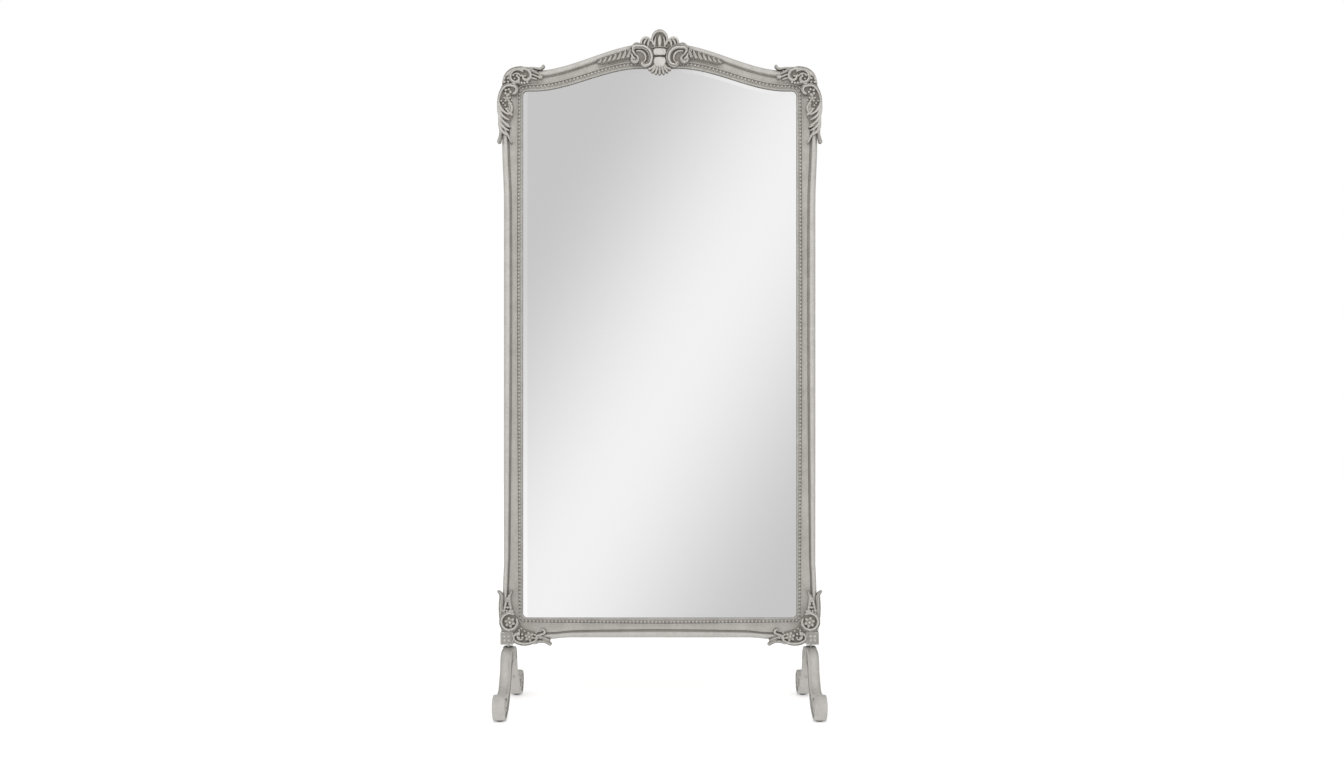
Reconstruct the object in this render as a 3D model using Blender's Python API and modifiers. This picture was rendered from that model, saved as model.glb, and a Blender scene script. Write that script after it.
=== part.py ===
"""Cheval floor mirror: a carved, painted frame that tilts on two scroll-footed stands.

Metres, +Z up. The front faces -Y, the left side is at -X, and the origin is on the floor
midway between the feet, in the plane of the tilt axis.
"""

import math

import bmesh
import bpy
from mathutils import Vector

# ---------------------------------------------------------------- driving dimensions
GAP = 0.0003                    # clearance left between two solids that touch

# Stands: one arch of two scroll legs under each side of the frame
LEG_THICKNESS = 0.031
LEG_INSET = 0.00325             # leg's middle plane inside that of the plinth block
CROWN_HEIGHT = 0.159            # top of the arch above the floor
CROWN_DOME = 0.006              # how far the crown rises above the shoulders
SADDLE_LENGTH = 0.060           # middle block of the arch, front to back
SADDLE_ARCH = 0.037             # crown down to the underside at the middle
SADDLE_ARCH_DROP = 0.006        # underside: middle down to the leg joint
VOLUTE_REACH = 0.170            # centre of each scroll from the tilt plane
VOLUTE_CENTRE_HEIGHT = 0.0403
VOLUTE_FRONT_RADIUS = 0.037
VOLUTE_TOP_RADIUS = 0.0237
GLIDE_RADIUS = 0.009
GLIDE_HEIGHT = 0.003
DOWEL_RADIUS = 0.004
DOWEL_DEPTH_IN_SADDLE = 0.010
DOWEL_DEPTH_IN_LEG = 0.014
PLUG_RADIUS = 0.0045            # wooden plug over the screw in each leg's inner face
PLUG_LENGTH = 0.012
PLUG_HEIGHT = 0.065
PLUG_REACH = 0.0765
PLUG_BED = 0.0005               # the plug stops this far short of its hole's end

# Tilt pivot: a steel tongue under the frame, held in a slot in each saddle
PIVOT_DEPTH = 0.021             # crown down to the bolt's axis
BOLT_RADIUS = 0.003
BOLT_HEAD_RADIUS = 0.0052
BOLT_HEAD_HEIGHT = 0.005
SMALL_CHAMFER = 0.0006          # on bolt heads and glides
NUT_RADIUS = 0.0052
NUT_HEIGHT = 0.005
WASHER_RADIUS = 0.007
WASHER_THICKNESS = 0.0012
TONGUE_WIDTH = 0.016
TONGUE_THICKNESS = 0.005
TILT_LIMIT = math.radians(8.0)
SWING_CLEARANCE = 0.0015        # tongue to the slot's ends at full tilt, and to its floor
FLANGE_WIDTH = 0.021
FLANGE_LENGTH = 0.026
FLANGE_THICKNESS = 0.003
FLANGE_SCREW_SPACING = 0.0138
NECK_GAP = 0.004                # crown up to the plinth block

# Frame
SIGHT_WIDTH = 0.708             # clear opening
SIGHT_SIDE_HEIGHT = 1.3625      # clear opening at its sides, below the arch
SIGHT_CORNER_RADIUS = 0.012
OUTER_CORNER_RADIUS = 0.032     # upper corners, under the carvings
ARCH_SHOULDER = 0.0275          # level run beside each upper corner
SIGHT_RISE = 0.0585
SIGHT_CROWN_RUN = 0.050         # half the level run at the crown, sight edge
OUTER_RISE = 0.0705
OUTER_CROWN_RUN = 0.026         # the same, outer edge
STILE_WIDTH = 0.048
RAIL_WIDTH = 0.050
LIP_WIDTH = 0.004
LIP_THICKNESS = 0.0038
LIP_ROUNDING = 0.0013           # of the lip's sight edge
MOULDING_RISE = 0.0124          # outer torus in front of the lip
TORUS_WIDTH = 0.012
TORUS_DEPTH = 0.0065            # its crest down to its shoulders
QUIRK_WIDTH = 0.006
QUIRK_DEPTH = 0.0058            # in front of the lip
COVE_EDGE_WIDTH = 0.0020        # fillet between the beads and the cove
COVE_EDGE_RISE = 0.0036         # in front of the lip
COVE_MIDDLE_RISE = 0.0029
COVE_END_RISE = 0.0070
BEAD_CHANNEL_WIDTH = 0.008
BEAD_CHANNEL_DEPTH = 0.001
BEAD_CHANNEL_SLOPE = 0.0004     # lean of each of its walls
BEAD_HEIGHT = 0.0030
GLASS_REBATE = 0.0085           # how far the glass runs under the lip
GLASS_SIDE_CLEARANCE = 0.0005
GLASS_THICKNESS = 0.005
GLASS_BEVEL_WIDTH = 0.020
GLASS_EDGE_THICKNESS = 0.0032
BOARD_REBATE = 0.0205
BOARD_THICKNESS = 0.0085
BOARD_RECESS = 0.0017           # frame's back face behind the board
PLINTH_WIDTH = 0.0335
PLINTH_HEIGHT = 0.033
PLINTH_DROP = 0.017             # below the bottom rail
PLINTH_OVERHANG = 0.008         # outside the stile
PLINTH_PROUD = 0.0025           # in front of the torus
SCREW_RADIUS = 0.0017
SCREW_LENGTH = 0.015
SCREW_POINT = 0.002
SCREW_HEAD_RADIUS = 0.0025
SCREW_HEAD_HEIGHT = 0.0014
CARVING_THICKNESS = 0.0115
CREST_THICKNESS = 0.0135

ROUND_STEPS = 16                # sides of round pieces
ARCH_STEPS = 24                 # stretches along the arched top
SMALLEST_RADIUS = 0.002
CUTTER_MARGIN = 0.010           # how far a cutter stands out past what it cuts

# ---------------------------------------------------------------- values that follow
SADDLE_HALF = SADDLE_LENGTH / 2
SHOULDER_HEIGHT = CROWN_HEIGHT - CROWN_DOME
SADDLE_UNDER_END = CROWN_HEIGHT - SADDLE_ARCH - SADDLE_ARCH_DROP
PIVOT_HEIGHT = CROWN_HEIGHT - PIVOT_DEPTH
SLOT_WIDTH = TONGUE_THICKNESS + 2 * WASHER_THICKNESS + 4 * GAP
SLOT_FLOOR = PIVOT_HEIGHT - TONGUE_WIDTH / 2 - SWING_CLEARANCE
SLOT_HALF_LENGTH = (TONGUE_WIDTH / 2 + PIVOT_DEPTH * math.tan(TILT_LIMIT)
                    + SWING_CLEARANCE)

PLINTH_BOTTOM = CROWN_HEIGHT + NECK_GAP
OUTER_BOTTOM = PLINTH_BOTTOM + PLINTH_DROP
SIGHT_BOTTOM = OUTER_BOTTOM + RAIL_WIDTH
SIGHT_TOP = SIGHT_BOTTOM + SIGHT_SIDE_HEIGHT
OUTER_TOP = SIGHT_TOP + RAIL_WIDTH
SIGHT_HALF = SIGHT_WIDTH / 2
OUTER_HALF = SIGHT_HALF + STILE_WIDTH
ARCH_START = SIGHT_HALF - ARCH_SHOULDER

FRAME_DEPTH = (MOULDING_RISE + LIP_THICKNESS + GLASS_THICKNESS + BOARD_THICKNESS
               + BOARD_RECESS + 2 * GAP)
FRONT = -FRAME_DEPTH / 2
BACK = FRAME_DEPTH / 2
LIP_FRONT = FRONT + MOULDING_RISE
LIP_BACK = LIP_FRONT + LIP_THICKNESS
GLASS_FRONT = LIP_BACK + GAP
LEDGE = GLASS_FRONT + GLASS_THICKNESS
BOARD_FRONT = LEDGE + GAP
BOARD_BACK = BOARD_FRONT + BOARD_THICKNESS
CHANNEL_FLOOR = LIP_FRONT + BEAD_CHANNEL_DEPTH
PLINTH_OUTER = OUTER_HALF + PLINTH_OVERHANG
LEG_X = PLINTH_OUTER - PLINTH_WIDTH / 2 - LEG_INSET
CREST_BASE = OUTER_TOP + OUTER_RISE     # top of the rail, under the shell
CHANNEL_START = LIP_WIDTH + BEAD_CHANNEL_SLOPE
CHANNEL_END = CHANNEL_START + BEAD_CHANNEL_WIDTH

SIDES = (("left", -1), ("right", 1))

# Outlines are (across, up) in metres. A third entry, "corner", makes the point sharp.
# Carvings are drawn outwards from the frame's outer corner, which is at (0, 0).
TOP_CARVING = [
    (-0.106, 0.015), (-0.110, 0.010), (-0.1085, 0.000), (-0.1035, -0.014), (-0.097, -0.026),
    (-0.080, -0.020), (-0.058, -0.026), (-0.036, -0.037), (-0.034, -0.058), (-0.024, -0.074),
    (-0.028, -0.103), (-0.016, -0.132), (-0.0155, -0.162), (-0.0205, -0.188, "corner"),
    (-0.008, -0.172), (0.006, -0.184), (0.0165, -0.186, "corner"), (0.0115, -0.168),
    (0.0135, -0.134), (0.0165, -0.096), (0.013, -0.058), (0.003, -0.030), (-0.007, -0.009),
    (-0.0235, 0.003), (-0.0416, 0.008), (-0.068, 0.008), (-0.093, 0.007),
]
BOTTOM_CARVING = [
    (0.010, 0.126), (0.0045, 0.120), (-0.002, 0.107), (-0.012, 0.116), (-0.0235, 0.124),
    (-0.026, 0.104), (-0.025, 0.080), (-0.029, 0.062), (-0.040, 0.038), (-0.0535, 0.026),
    (-0.068, 0.028), (-0.0845, 0.022), (-0.102, 0.025), (-0.110, 0.016), (-0.108, 0.001),
    (-0.1245, -0.012), (-0.124, -0.021), (-0.107, -0.014), (-0.082, -0.0155),
    (-0.058, -0.016), (-0.038, -0.007), (-0.027, 0.006), (-0.006, 0.012), (0.0065, 0.024),
    (0.0115, 0.048), (0.012, 0.080), (0.010, 0.107),
]
# Crest pieces are drawn from the middle of the rail's top, right half only.
SHELL_HALF = [
    (0.000, 0.0370), (0.0125, 0.0330), (0.0205, 0.0220), (0.0235, 0.0160, "corner"),
    (0.0320, 0.0205), (0.0405, 0.0150), (0.0425, 0.0090, "corner"), (0.0490, 0.0030),
    (0.0500, -0.0060, "corner"), (0.000, -0.0090, "corner"),
]
CARTOUCHE_HALF = [
    (0.000, -0.0094, "corner"), (0.0510, -0.0063, "corner"), (0.0625, -0.0080),
    (0.0700, -0.0165), (0.0705, -0.0260), (0.0640, -0.0320), (0.0560, -0.0400),
    (0.0515, -0.0560), (0.0440, -0.0630), (0.0360, -0.0645), (0.0285, -0.0675),
    (0.0180, -0.0755), (0.000, -0.0785),
]
SPRAY = [
    (0.0740, -0.0060), (0.1000, -0.0105), (0.1300, -0.0210), (0.1550, -0.0370),
    (0.1630, -0.0480), (0.1500, -0.0560), (0.1250, -0.0500), (0.1000, -0.0420),
    (0.0800, -0.0370), (0.0735, -0.0260),
]
# The leg's stem, as shares of the run from saddle to scroll and of the shoulder's height
STEM_FRONT = [
    (0.114, 0.980), (0.207, 0.931), (0.257, 0.863), (0.296, 0.732), (0.343, 0.588),
    (0.421, 0.471), (0.543, 0.402), (0.700, 0.376),
]
STEM_UNDER = [
    (0.700, 0.088), (0.571, 0.162), (0.450, 0.275), (0.336, 0.399), (0.229, 0.529),
    (0.143, 0.647), (0.071, 0.719),
]


# ---------------------------------------------------------------- scene and helpers
def clear_scene():
    for item in list(bpy.data.objects):
        bpy.data.objects.remove(item, do_unlink=True)


def new_collection(name):
    collection = bpy.data.collections.new(name)
    bpy.context.scene.collection.children.link(collection)
    return collection


def new_material(name, colour, roughness, metallic):
    material = bpy.data.materials.new(name)
    material.use_nodes = True
    shader = material.node_tree.nodes["Principled BSDF"]
    shader.inputs["Base Color"].default_value = (*colour, 1.0)
    shader.inputs["Roughness"].default_value = roughness
    shader.inputs["Metallic"].default_value = metallic
    return material


class Workshop:
    """Holds the collections, the materials and the frame's pivot while the parts are made."""

    def __init__(self):
        self.parts = new_collection("cheval_floor_mirror")
        self.cutters = new_collection("cutters")
        self.paint = ((0.45, 0.43, 0.40), 0.50, 0.30)
        self.steel = ((0.55, 0.55, 0.56), 0.35, 1.00)
        self.wood = ((0.62, 0.48, 0.32), 0.70, 0.00)
        self.mirror = ((0.90, 0.91, 0.92), 0.03, 1.00)
        self.board = ((0.30, 0.24, 0.18), 0.80, 0.00)
        self.felt = ((0.08, 0.07, 0.06), 0.90, 0.00)
        self.frame_pivot = bpy.data.objects.new("frame_pivot", None)
        self.frame_pivot.location = (0.0, 0.0, PIVOT_HEIGHT)
        self.parts.objects.link(self.frame_pivot)

    def place(self, mesh, name, finish, location=(0, 0, 0), rotation=(0, 0, 0), on_frame=False):
        """Make a part from a mesh; parts of the tilting frame hang on its pivot."""
        part = bpy.data.objects.new(name, mesh)
        mesh.materials.clear()
        mesh.materials.append(new_material(name + "_finish", *finish))
        part.location = location
        part.rotation_euler = rotation
        if on_frame:
            part.parent = self.frame_pivot
            part.location = Vector(location) - self.frame_pivot.location
        self.parts.objects.link(part)
        return part

    def cutter(self, mesh, name, location=(0, 0, 0), rotation=(0, 0, 0)):
        tool = bpy.data.objects.new(name, mesh)
        tool.location = location
        tool.rotation_euler = rotation
        tool.hide_render = True
        tool.display_type = "WIRE"
        self.cutters.objects.link(tool)
        return tool


def cut(part, tool):
    boolean = part.modifiers.new("cut_" + tool.name, "BOOLEAN")
    boolean.operation = "DIFFERENCE"
    boolean.object = tool


def mesh_from(bm, name, smooth_angle=None):
    bmesh.ops.recalc_face_normals(bm, faces=bm.faces)
    mesh = bpy.data.meshes.new(name)
    bm.to_mesh(mesh)
    bm.free()
    if smooth_angle is not None:
        mesh.shade_smooth()
        mesh.set_sharp_from_angle(angle=smooth_angle)
    return mesh


def box_mesh(name, size):
    bm = bmesh.new()
    bmesh.ops.create_cube(bm, size=1.0)
    bmesh.ops.scale(bm, vec=size, verts=bm.verts)
    return mesh_from(bm, name)


def box_between(shop, name, low, high):
    """A box-shaped cutter from its lowest corner to its highest."""
    low, high = Vector(low), Vector(high)
    return shop.cutter(box_mesh(name, high - low), name, (low + high) / 2)


def rod_mesh(name, radius, length):
    bm = bmesh.new()
    bmesh.ops.create_cone(bm, cap_ends=True, segments=ROUND_STEPS,
                          radius1=radius, radius2=radius, depth=length)
    return mesh_from(bm, name, math.radians(40))


def turn_along(axis, sign=1):
    """Rotation that takes local +Z to the given world axis."""
    if axis == "X":
        return (0.0, sign * math.pi / 2, 0.0)
    if axis == "Y":
        return (-sign * math.pi / 2, 0.0, 0.0)
    return (0.0 if sign > 0 else math.pi, 0.0, 0.0)


def turned_mesh(name, profile):
    """Outline of a turned piece: (radius, height) points down its outer side."""
    mesh = bpy.data.meshes.new(name)
    points = [(radius, 0.0, height) for radius, height in profile]
    edges = [(i, i + 1) for i in range(len(points) - 1)]
    if min(radius for radius, height in profile) > 0:
        edges.append((len(points) - 1, 0))
    mesh.from_pydata(points, edges, [])
    return mesh


def screw_mesh(name):
    """A round-headed wood screw; local origin under its head."""
    return turned_mesh(name, [
        (0.0, SCREW_HEAD_HEIGHT), (SCREW_HEAD_RADIUS * 0.7, SCREW_HEAD_HEIGHT),
        (SCREW_HEAD_RADIUS, SCREW_HEAD_HEIGHT * 0.4), (SCREW_HEAD_RADIUS, 0.0),
        (SCREW_RADIUS, 0.0), (SCREW_RADIUS, -SCREW_LENGTH + SCREW_POINT),
        (0.0, -SCREW_LENGTH)])


def lathe(part):
    screw = part.modifiers.new("turned", "SCREW")
    screw.steps = ROUND_STEPS
    screw.render_steps = ROUND_STEPS
    screw.use_merge_vertices = True
    screw.merge_threshold = 0.00001
    screw.use_smooth_shade = False
    return part


def flat_mesh(name, outline, thickness, steps=3):
    """A plate: a smooth closed outline in the local XY plane, thick along local Z."""
    curve = bpy.data.curves.new(name, "CURVE")
    curve.dimensions = "2D"
    curve.fill_mode = "BOTH"
    curve.extrude = thickness / 2
    curve.resolution_u = steps
    spline = curve.splines.new("BEZIER")
    spline.bezier_points.add(len(outline) - 1)
    spline.use_cyclic_u = True
    for point, entry in zip(spline.bezier_points, outline):
        handle = "VECTOR" if len(entry) == 3 else "AUTO"
        point.co = (entry[0], entry[1], 0.0)
        point.handle_left_type = handle
        point.handle_right_type = handle
    holder = bpy.data.objects.new(name, curve)
    bpy.context.scene.collection.objects.link(holder)
    bpy.context.view_layer.update()
    evaluated = holder.evaluated_get(bpy.context.evaluated_depsgraph_get())
    mesh = bpy.data.meshes.new_from_object(evaluated)
    bpy.data.objects.remove(holder, do_unlink=True)
    bm = bmesh.new()
    bm.from_mesh(mesh)
    bpy.data.meshes.remove(mesh)
    bmesh.ops.remove_doubles(bm, verts=bm.verts, dist=0.00001)
    bmesh.ops.dissolve_limit(bm, angle_limit=math.radians(0.5), verts=bm.verts, edges=bm.edges)
    return mesh_from(bm, name, math.radians(35))


def mirrored(half):
    """Close a right half, drawn top to bottom, with its mirror image."""
    left = [(-entry[0], *entry[1:]) for entry in reversed(half) if entry[0] > 0]
    return list(half) + left


def loft_mesh(name, sections):
    """Skin a row of unlike closed sections, and cap the two ends."""
    bm = bmesh.new()
    rows = [[bm.verts.new(point) for point in section] for section in sections]
    count = len(rows[0])
    for row, following in zip(rows, rows[1:]):
        for i in range(count):
            j = (i + 1) % count
            bm.faces.new((row[i], row[j], following[j], following[i]))
    bm.faces.new(rows[0])
    bm.faces.new(rows[-1])
    bmesh.ops.recalc_face_normals(bm, faces=bm.faces)
    bmesh.ops.triangulate(bm, faces=bm.faces)
    return mesh_from(bm, name, math.radians(35))


# ---------------------------------------------------------------- the frame's outlines
def smoothstep(value):
    value = min(max(value, 0.0), 1.0)
    return value * value * (3.0 - 2.0 * value)


def sight_arch(x):
    run = ARCH_START - SIGHT_CROWN_RUN
    return SIGHT_TOP + SIGHT_RISE * smoothstep((ARCH_START - abs(x)) / run)


def outer_arch(x):
    run = ARCH_START - OUTER_CROWN_RUN
    return OUTER_TOP + OUTER_RISE * smoothstep((ARCH_START - abs(x)) / run)


def arc_points(centre, radius, start, end, steps=4):
    """Points of an arc in the frame's plane, angles in degrees."""
    angles = [math.radians(start + (end - start) * i / steps) for i in range(steps + 1)]
    return [(centre[0] + radius * math.cos(a), centre[1] + radius * math.sin(a))
            for a in angles]


def spaced(points, count=6):
    """A path's own start and end, with evenly spaced points between them."""
    path = [Vector(point) for point in points]
    lengths = [(b - a).length for a, b in zip(path, path[1:])]
    result = []
    for number in range(count):
        left = sum(lengths) * number / (count - 1)
        for start, end, length in zip(path, path[1:], lengths):
            if left <= length + 1e-9:
                break
            left -= length
        result.append(tuple(start + (end - start) * min(left / length, 1.0)))
    return result


def lower_fan():
    """Right lower corner, mitre to stile: rounded at the sight edge, square outside."""
    middle = (SIGHT_HALF - SIGHT_CORNER_RADIUS, SIGHT_BOTTOM + SIGHT_CORNER_RADIUS)
    sight = arc_points(middle, SIGHT_CORNER_RADIUS, -45, 0)
    outer = [(OUTER_HALF, OUTER_BOTTOM), (OUTER_HALF, middle[1])]
    return spaced(sight), spaced(outer)


def upper_fan(start, end):
    """Part of the right upper corner, rounded inside and out, between two angles."""
    middle = (SIGHT_HALF - SIGHT_CORNER_RADIUS, SIGHT_TOP - SIGHT_CORNER_RADIUS)
    bend = (OUTER_HALF - OUTER_CORNER_RADIUS, OUTER_TOP - OUTER_CORNER_RADIUS)
    sight = arc_points(middle, SIGHT_CORNER_RADIUS, start, end)
    outer = arc_points(bend, OUTER_CORNER_RADIUS, start, end)
    if start == 0:
        outer.insert(0, (OUTER_HALF, middle[1]))
    else:
        outer.append((middle[0], OUTER_TOP))
    return spaced(sight), spaced(outer)


def flipped(points):
    return [(-x, z) for x, z in points]


def stile_paths(side):
    """Sight edge and outer edge of a stile, from its lower mitre up to its upper one."""
    edges = [low + high for low, high in zip(lower_fan(), upper_fan(0, 45))]
    return [edge if side > 0 else flipped(edge) for edge in edges]


def bottom_paths():
    """The lower fan laid on its side: its points turned about the corner's mitre."""
    edges = []
    for edge, corner in zip(lower_fan(), ((SIGHT_HALF, SIGHT_BOTTOM), (OUTER_HALF, OUTER_BOTTOM))):
        turned = [(corner[0] - (z - corner[1]), corner[1] - (x - corner[0])) for x, z in edge]
        edges.append(flipped(turned) + turned[::-1])
    return edges


def top_paths():
    fan = upper_fan(45, 90)
    inner = SIGHT_HALF - SIGHT_CORNER_RADIUS
    across = [inner * (1 - 2 * i / ARCH_STEPS) for i in range(1, ARCH_STEPS)]
    edges = []
    for edge, arch in zip(fan, (sight_arch, outer_arch)):
        edges.append(edge + [(x, arch(x)) for x in across] + flipped(edge)[::-1])
    return edges


def loft_rail(name, paths, profile):
    """Carry a profile along a rail. Each of its points is (from the sight edge, share of
    the rail's spare width, y), so the moulding keeps its members where the rail widens."""
    sections = []
    for sight, outer in zip(*paths):
        across = Vector((outer[0] - sight[0], 0.0, outer[1] - sight[1]))
        direction = across.normalized()
        spare = across.length - STILE_WIDTH
        base = Vector((sight[0], 0.0, sight[1]))
        sections.append([base + direction * (offset + share * spare) + Vector((0.0, y, 0.0))
                         for offset, share, y in profile])
    return loft_mesh(name, sections)


def moulding_profile():
    """Lip, bead channel, cove, quirk and outer torus, then the stepped rebate behind."""
    torus_middle = STILE_WIDTH - TORUS_WIDTH / 2
    cove_end = STILE_WIDTH - TORUS_WIDTH - QUIRK_WIDTH
    cove = CHANNEL_END + COVE_EDGE_WIDTH
    cove_width = cove_end - cove
    profile = [
        (0.0, 0, LIP_BACK), (0.0, 0, LIP_FRONT + LIP_ROUNDING), (LIP_ROUNDING, 0, LIP_FRONT),
        (LIP_WIDTH, 0, LIP_FRONT), (CHANNEL_START, 0, CHANNEL_FLOOR),
        (CHANNEL_END, 0, CHANNEL_FLOOR),
        (CHANNEL_END + BEAD_CHANNEL_SLOPE, 0, LIP_FRONT - COVE_EDGE_RISE * 0.67),
        (cove, 0, LIP_FRONT - COVE_EDGE_RISE),
        (cove + cove_width * 0.16, 0.2, LIP_FRONT - COVE_MIDDLE_RISE),
        (cove + cove_width * 0.51, 0.6, LIP_FRONT - COVE_EDGE_RISE),
        (cove_end, 1, LIP_FRONT - COVE_END_RISE),
        (cove_end + QUIRK_WIDTH * 0.2, 1, LIP_FRONT - QUIRK_DEPTH),
    ]
    for step in range(7):
        angle = math.pi * step / 6
        profile.append((torus_middle - TORUS_WIDTH / 2 * math.cos(angle), 1,
                        FRONT + TORUS_DEPTH * (1 - math.sin(angle))))
    profile += [
        (STILE_WIDTH, 1, BACK), (BOARD_REBATE, 0, BACK), (BOARD_REBATE, 0, LEDGE),
        (GLASS_REBATE, 0, LEDGE), (GLASS_REBATE, 0, LIP_BACK),
    ]
    return profile


def bead_profile():
    """Half-round slip that lies in the bead channel."""
    start = CHANNEL_START + GAP
    width = BEAD_CHANNEL_WIDTH - 2 * GAP
    floor = CHANNEL_FLOOR - GAP
    arc = [math.pi * step / 4 for step in range(5)]
    return [(start + width / 2 - width / 2 * math.cos(a), 0, floor - BEAD_HEIGHT * math.sin(a))
            for a in arc]


def sight_loop(grow):
    """The opening's outline, moved outwards by grow (inwards if negative)."""
    half = SIGHT_HALF + grow
    radius = max(SIGHT_CORNER_RADIUS + grow, SMALLEST_RADIUS)
    low, high = SIGHT_BOTTOM - grow, SIGHT_TOP + grow

    def arc(centre_x, centre_z, start):
        angles = [math.radians(start + 90 * i / 4) for i in range(5)]
        return [(centre_x + radius * math.cos(a), centre_z + radius * math.sin(a))
                for a in angles]

    inner = half - radius
    across = [inner * (1 - 2 * i / ARCH_STEPS) for i in range(1, ARCH_STEPS)]
    top = [(x, sight_arch(x) + grow) for x in across]
    return (arc(inner, high - radius, 0) + top + arc(-inner, high - radius, 90)
            + arc(-inner, low + radius, 180) + arc(inner, low + radius, 270))


def slab_mesh(name, rings):
    """A sheet skinned through (grow, y) outlines, front to back."""
    sections = [[Vector((x, y, z)) for x, z in sight_loop(grow)] for grow, y in rings]
    return loft_mesh(name, sections)


# ---------------------------------------------------------------- frame parts
def make_rails(shop):
    painted = dict(finish=shop.paint, on_frame=True)
    blocks = [plinth_cutter(shop, name, side) for name, side in SIDES]
    paths = {"left_stile": stile_paths(-1), "right_stile": stile_paths(1),
             "top_rail": top_paths(), "bottom_rail": bottom_paths()}
    for name, path in paths.items():
        sight, outer = trim_mitres(path)
        rail = shop.place(loft_rail(name, (sight, outer), moulding_profile()), name, **painted)
        if name != "top_rail":
            for block in blocks:
                cut(rail, block)
        slip_name = "bead_slip_" + name.split("_")[0]
        shop.place(loft_rail(slip_name, (sight, outer), bead_profile()), slip_name, **painted)
        drill_for_board_screws(shop, rail)


def trim_mitres(path):
    """Draw a rail's end sections in by half a gap, so that the mitred faces don't touch."""
    along = GAP / 2 * math.sqrt(2)
    trimmed = []
    for edge in path:
        points = [Vector(point) for point in edge]
        points[0] += (points[1] - points[0]).normalized() * along
        points[-1] += (points[-2] - points[-1]).normalized() * along
        trimmed.append([(point.x, point.y) for point in points])
    return trimmed


def plinth_cutter(shop, name, side):
    """The space that a plinth block takes out of the stile and the bottom rail."""
    inner, outer = PLINTH_OUTER - PLINTH_WIDTH - GAP, PLINTH_OUTER + GAP
    xs = sorted((side * inner, side * outer))
    top = PLINTH_BOTTOM + PLINTH_HEIGHT + GAP
    return box_between(shop, "plinth_space_" + name,
                       (xs[0], FRONT - PLINTH_PROUD - CARVING_THICKNESS, PLINTH_BOTTOM - GAP),
                       (xs[1], BACK + GAP, top))


def make_glass_and_board(shop):
    glass_grow = GLASS_REBATE - GLASS_SIDE_CLEARANCE
    bevel_drop = GLASS_THICKNESS - GLASS_EDGE_THICKNESS
    glass = slab_mesh("mirror_glass", [
        (glass_grow - GLASS_BEVEL_WIDTH, GLASS_FRONT), (glass_grow, GLASS_FRONT + bevel_drop),
        (glass_grow, GLASS_FRONT + GLASS_THICKNESS)])
    shop.place(glass, "mirror_glass", shop.mirror, on_frame=True)
    board_grow = BOARD_REBATE - GLASS_SIDE_CLEARANCE
    board = shop.place(slab_mesh("backing_board", [(board_grow, BOARD_FRONT),
                                                   (board_grow, BOARD_BACK)]),
                       "backing_board", shop.board, on_frame=True)
    drill_for_board_screws(shop, board)
    for name, (x, z) in board_screw_places().items():
        lathe(shop.place(screw_mesh(name), name, shop.steel, (x, BOARD_BACK + GAP, z),
                         turn_along("Y"), on_frame=True))


def board_screw_places():
    """Screws through the board's margin, midway along the ledge it rests on."""
    margin = (GLASS_REBATE + BOARD_REBATE) / 2
    side = SIGHT_HALF + margin
    quarter = SIGHT_SIDE_HEIGHT / 4
    return {
        "board_screw_left_low": (-side, SIGHT_BOTTOM + quarter),
        "board_screw_left_high": (-side, SIGHT_TOP - quarter),
        "board_screw_right_low": (side, SIGHT_BOTTOM + quarter),
        "board_screw_right_high": (side, SIGHT_TOP - quarter),
        "board_screw_bottom": (0.0, SIGHT_BOTTOM - margin),
        "board_screw_top": (0.0, sight_arch(0.0) + margin),
    }


def drill_for_board_screws(shop, part):
    """Each rail and the board share the same screw holes."""
    word = part.name.split("_")[0]
    depth = SCREW_LENGTH + GAP
    for name, (x, z) in board_screw_places().items():
        if word in name or part.name == "backing_board":
            tool = shop.cutter(rod_mesh(name + "_hole", SCREW_RADIUS + GAP, depth + GAP),
                               name + "_hole", (x, BOARD_BACK + GAP * 1.5 - depth / 2, z),
                               turn_along("Y"))
            cut(part, tool)


def make_plinths(shop):
    """Plinth block under each stile, with the tongue bracket let into its underside."""
    width, depth = PLINTH_WIDTH, FRAME_DEPTH + PLINTH_PROUD
    y = (FRONT - PLINTH_PROUD + BACK) / 2
    for name, side in SIDES:
        x = side * (PLINTH_OUTER - width / 2)
        block = shop.place(box_mesh("plinth", (width, depth, PLINTH_HEIGHT)),
                           "plinth_block_" + name, shop.paint,
                           (x, y, PLINTH_BOTTOM + PLINTH_HEIGHT / 2), on_frame=True)
        pocket = box_between(
            shop, "flange_pocket_" + name,
            (side * LEG_X - FLANGE_WIDTH / 2 - GAP, -FLANGE_LENGTH / 2 - GAP,
             PLINTH_BOTTOM - GAP),
            (side * LEG_X + FLANGE_WIDTH / 2 + GAP, FLANGE_LENGTH / 2 + GAP,
             PLINTH_BOTTOM + FLANGE_THICKNESS + GAP))
        cut(block, pocket)
        make_tongue(shop, name, side, block)


def tongue_mesh(name):
    """Flange and tongue in one bracket; local origin on the pivot's axis."""
    flange_low = PLINTH_BOTTOM - PIVOT_HEIGHT
    radius = TONGUE_WIDTH / 2
    top = flange_low + FLANGE_THICKNESS / 2
    outline = [(-radius, top, "corner")]
    for step in range(9):
        angle = math.pi + math.pi * step / 8
        outline.append((radius * math.cos(angle), radius * math.sin(angle), "corner"))
    outline.append((radius, top, "corner"))
    return flat_mesh(name, outline, TONGUE_THICKNESS, steps=1)


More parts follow.
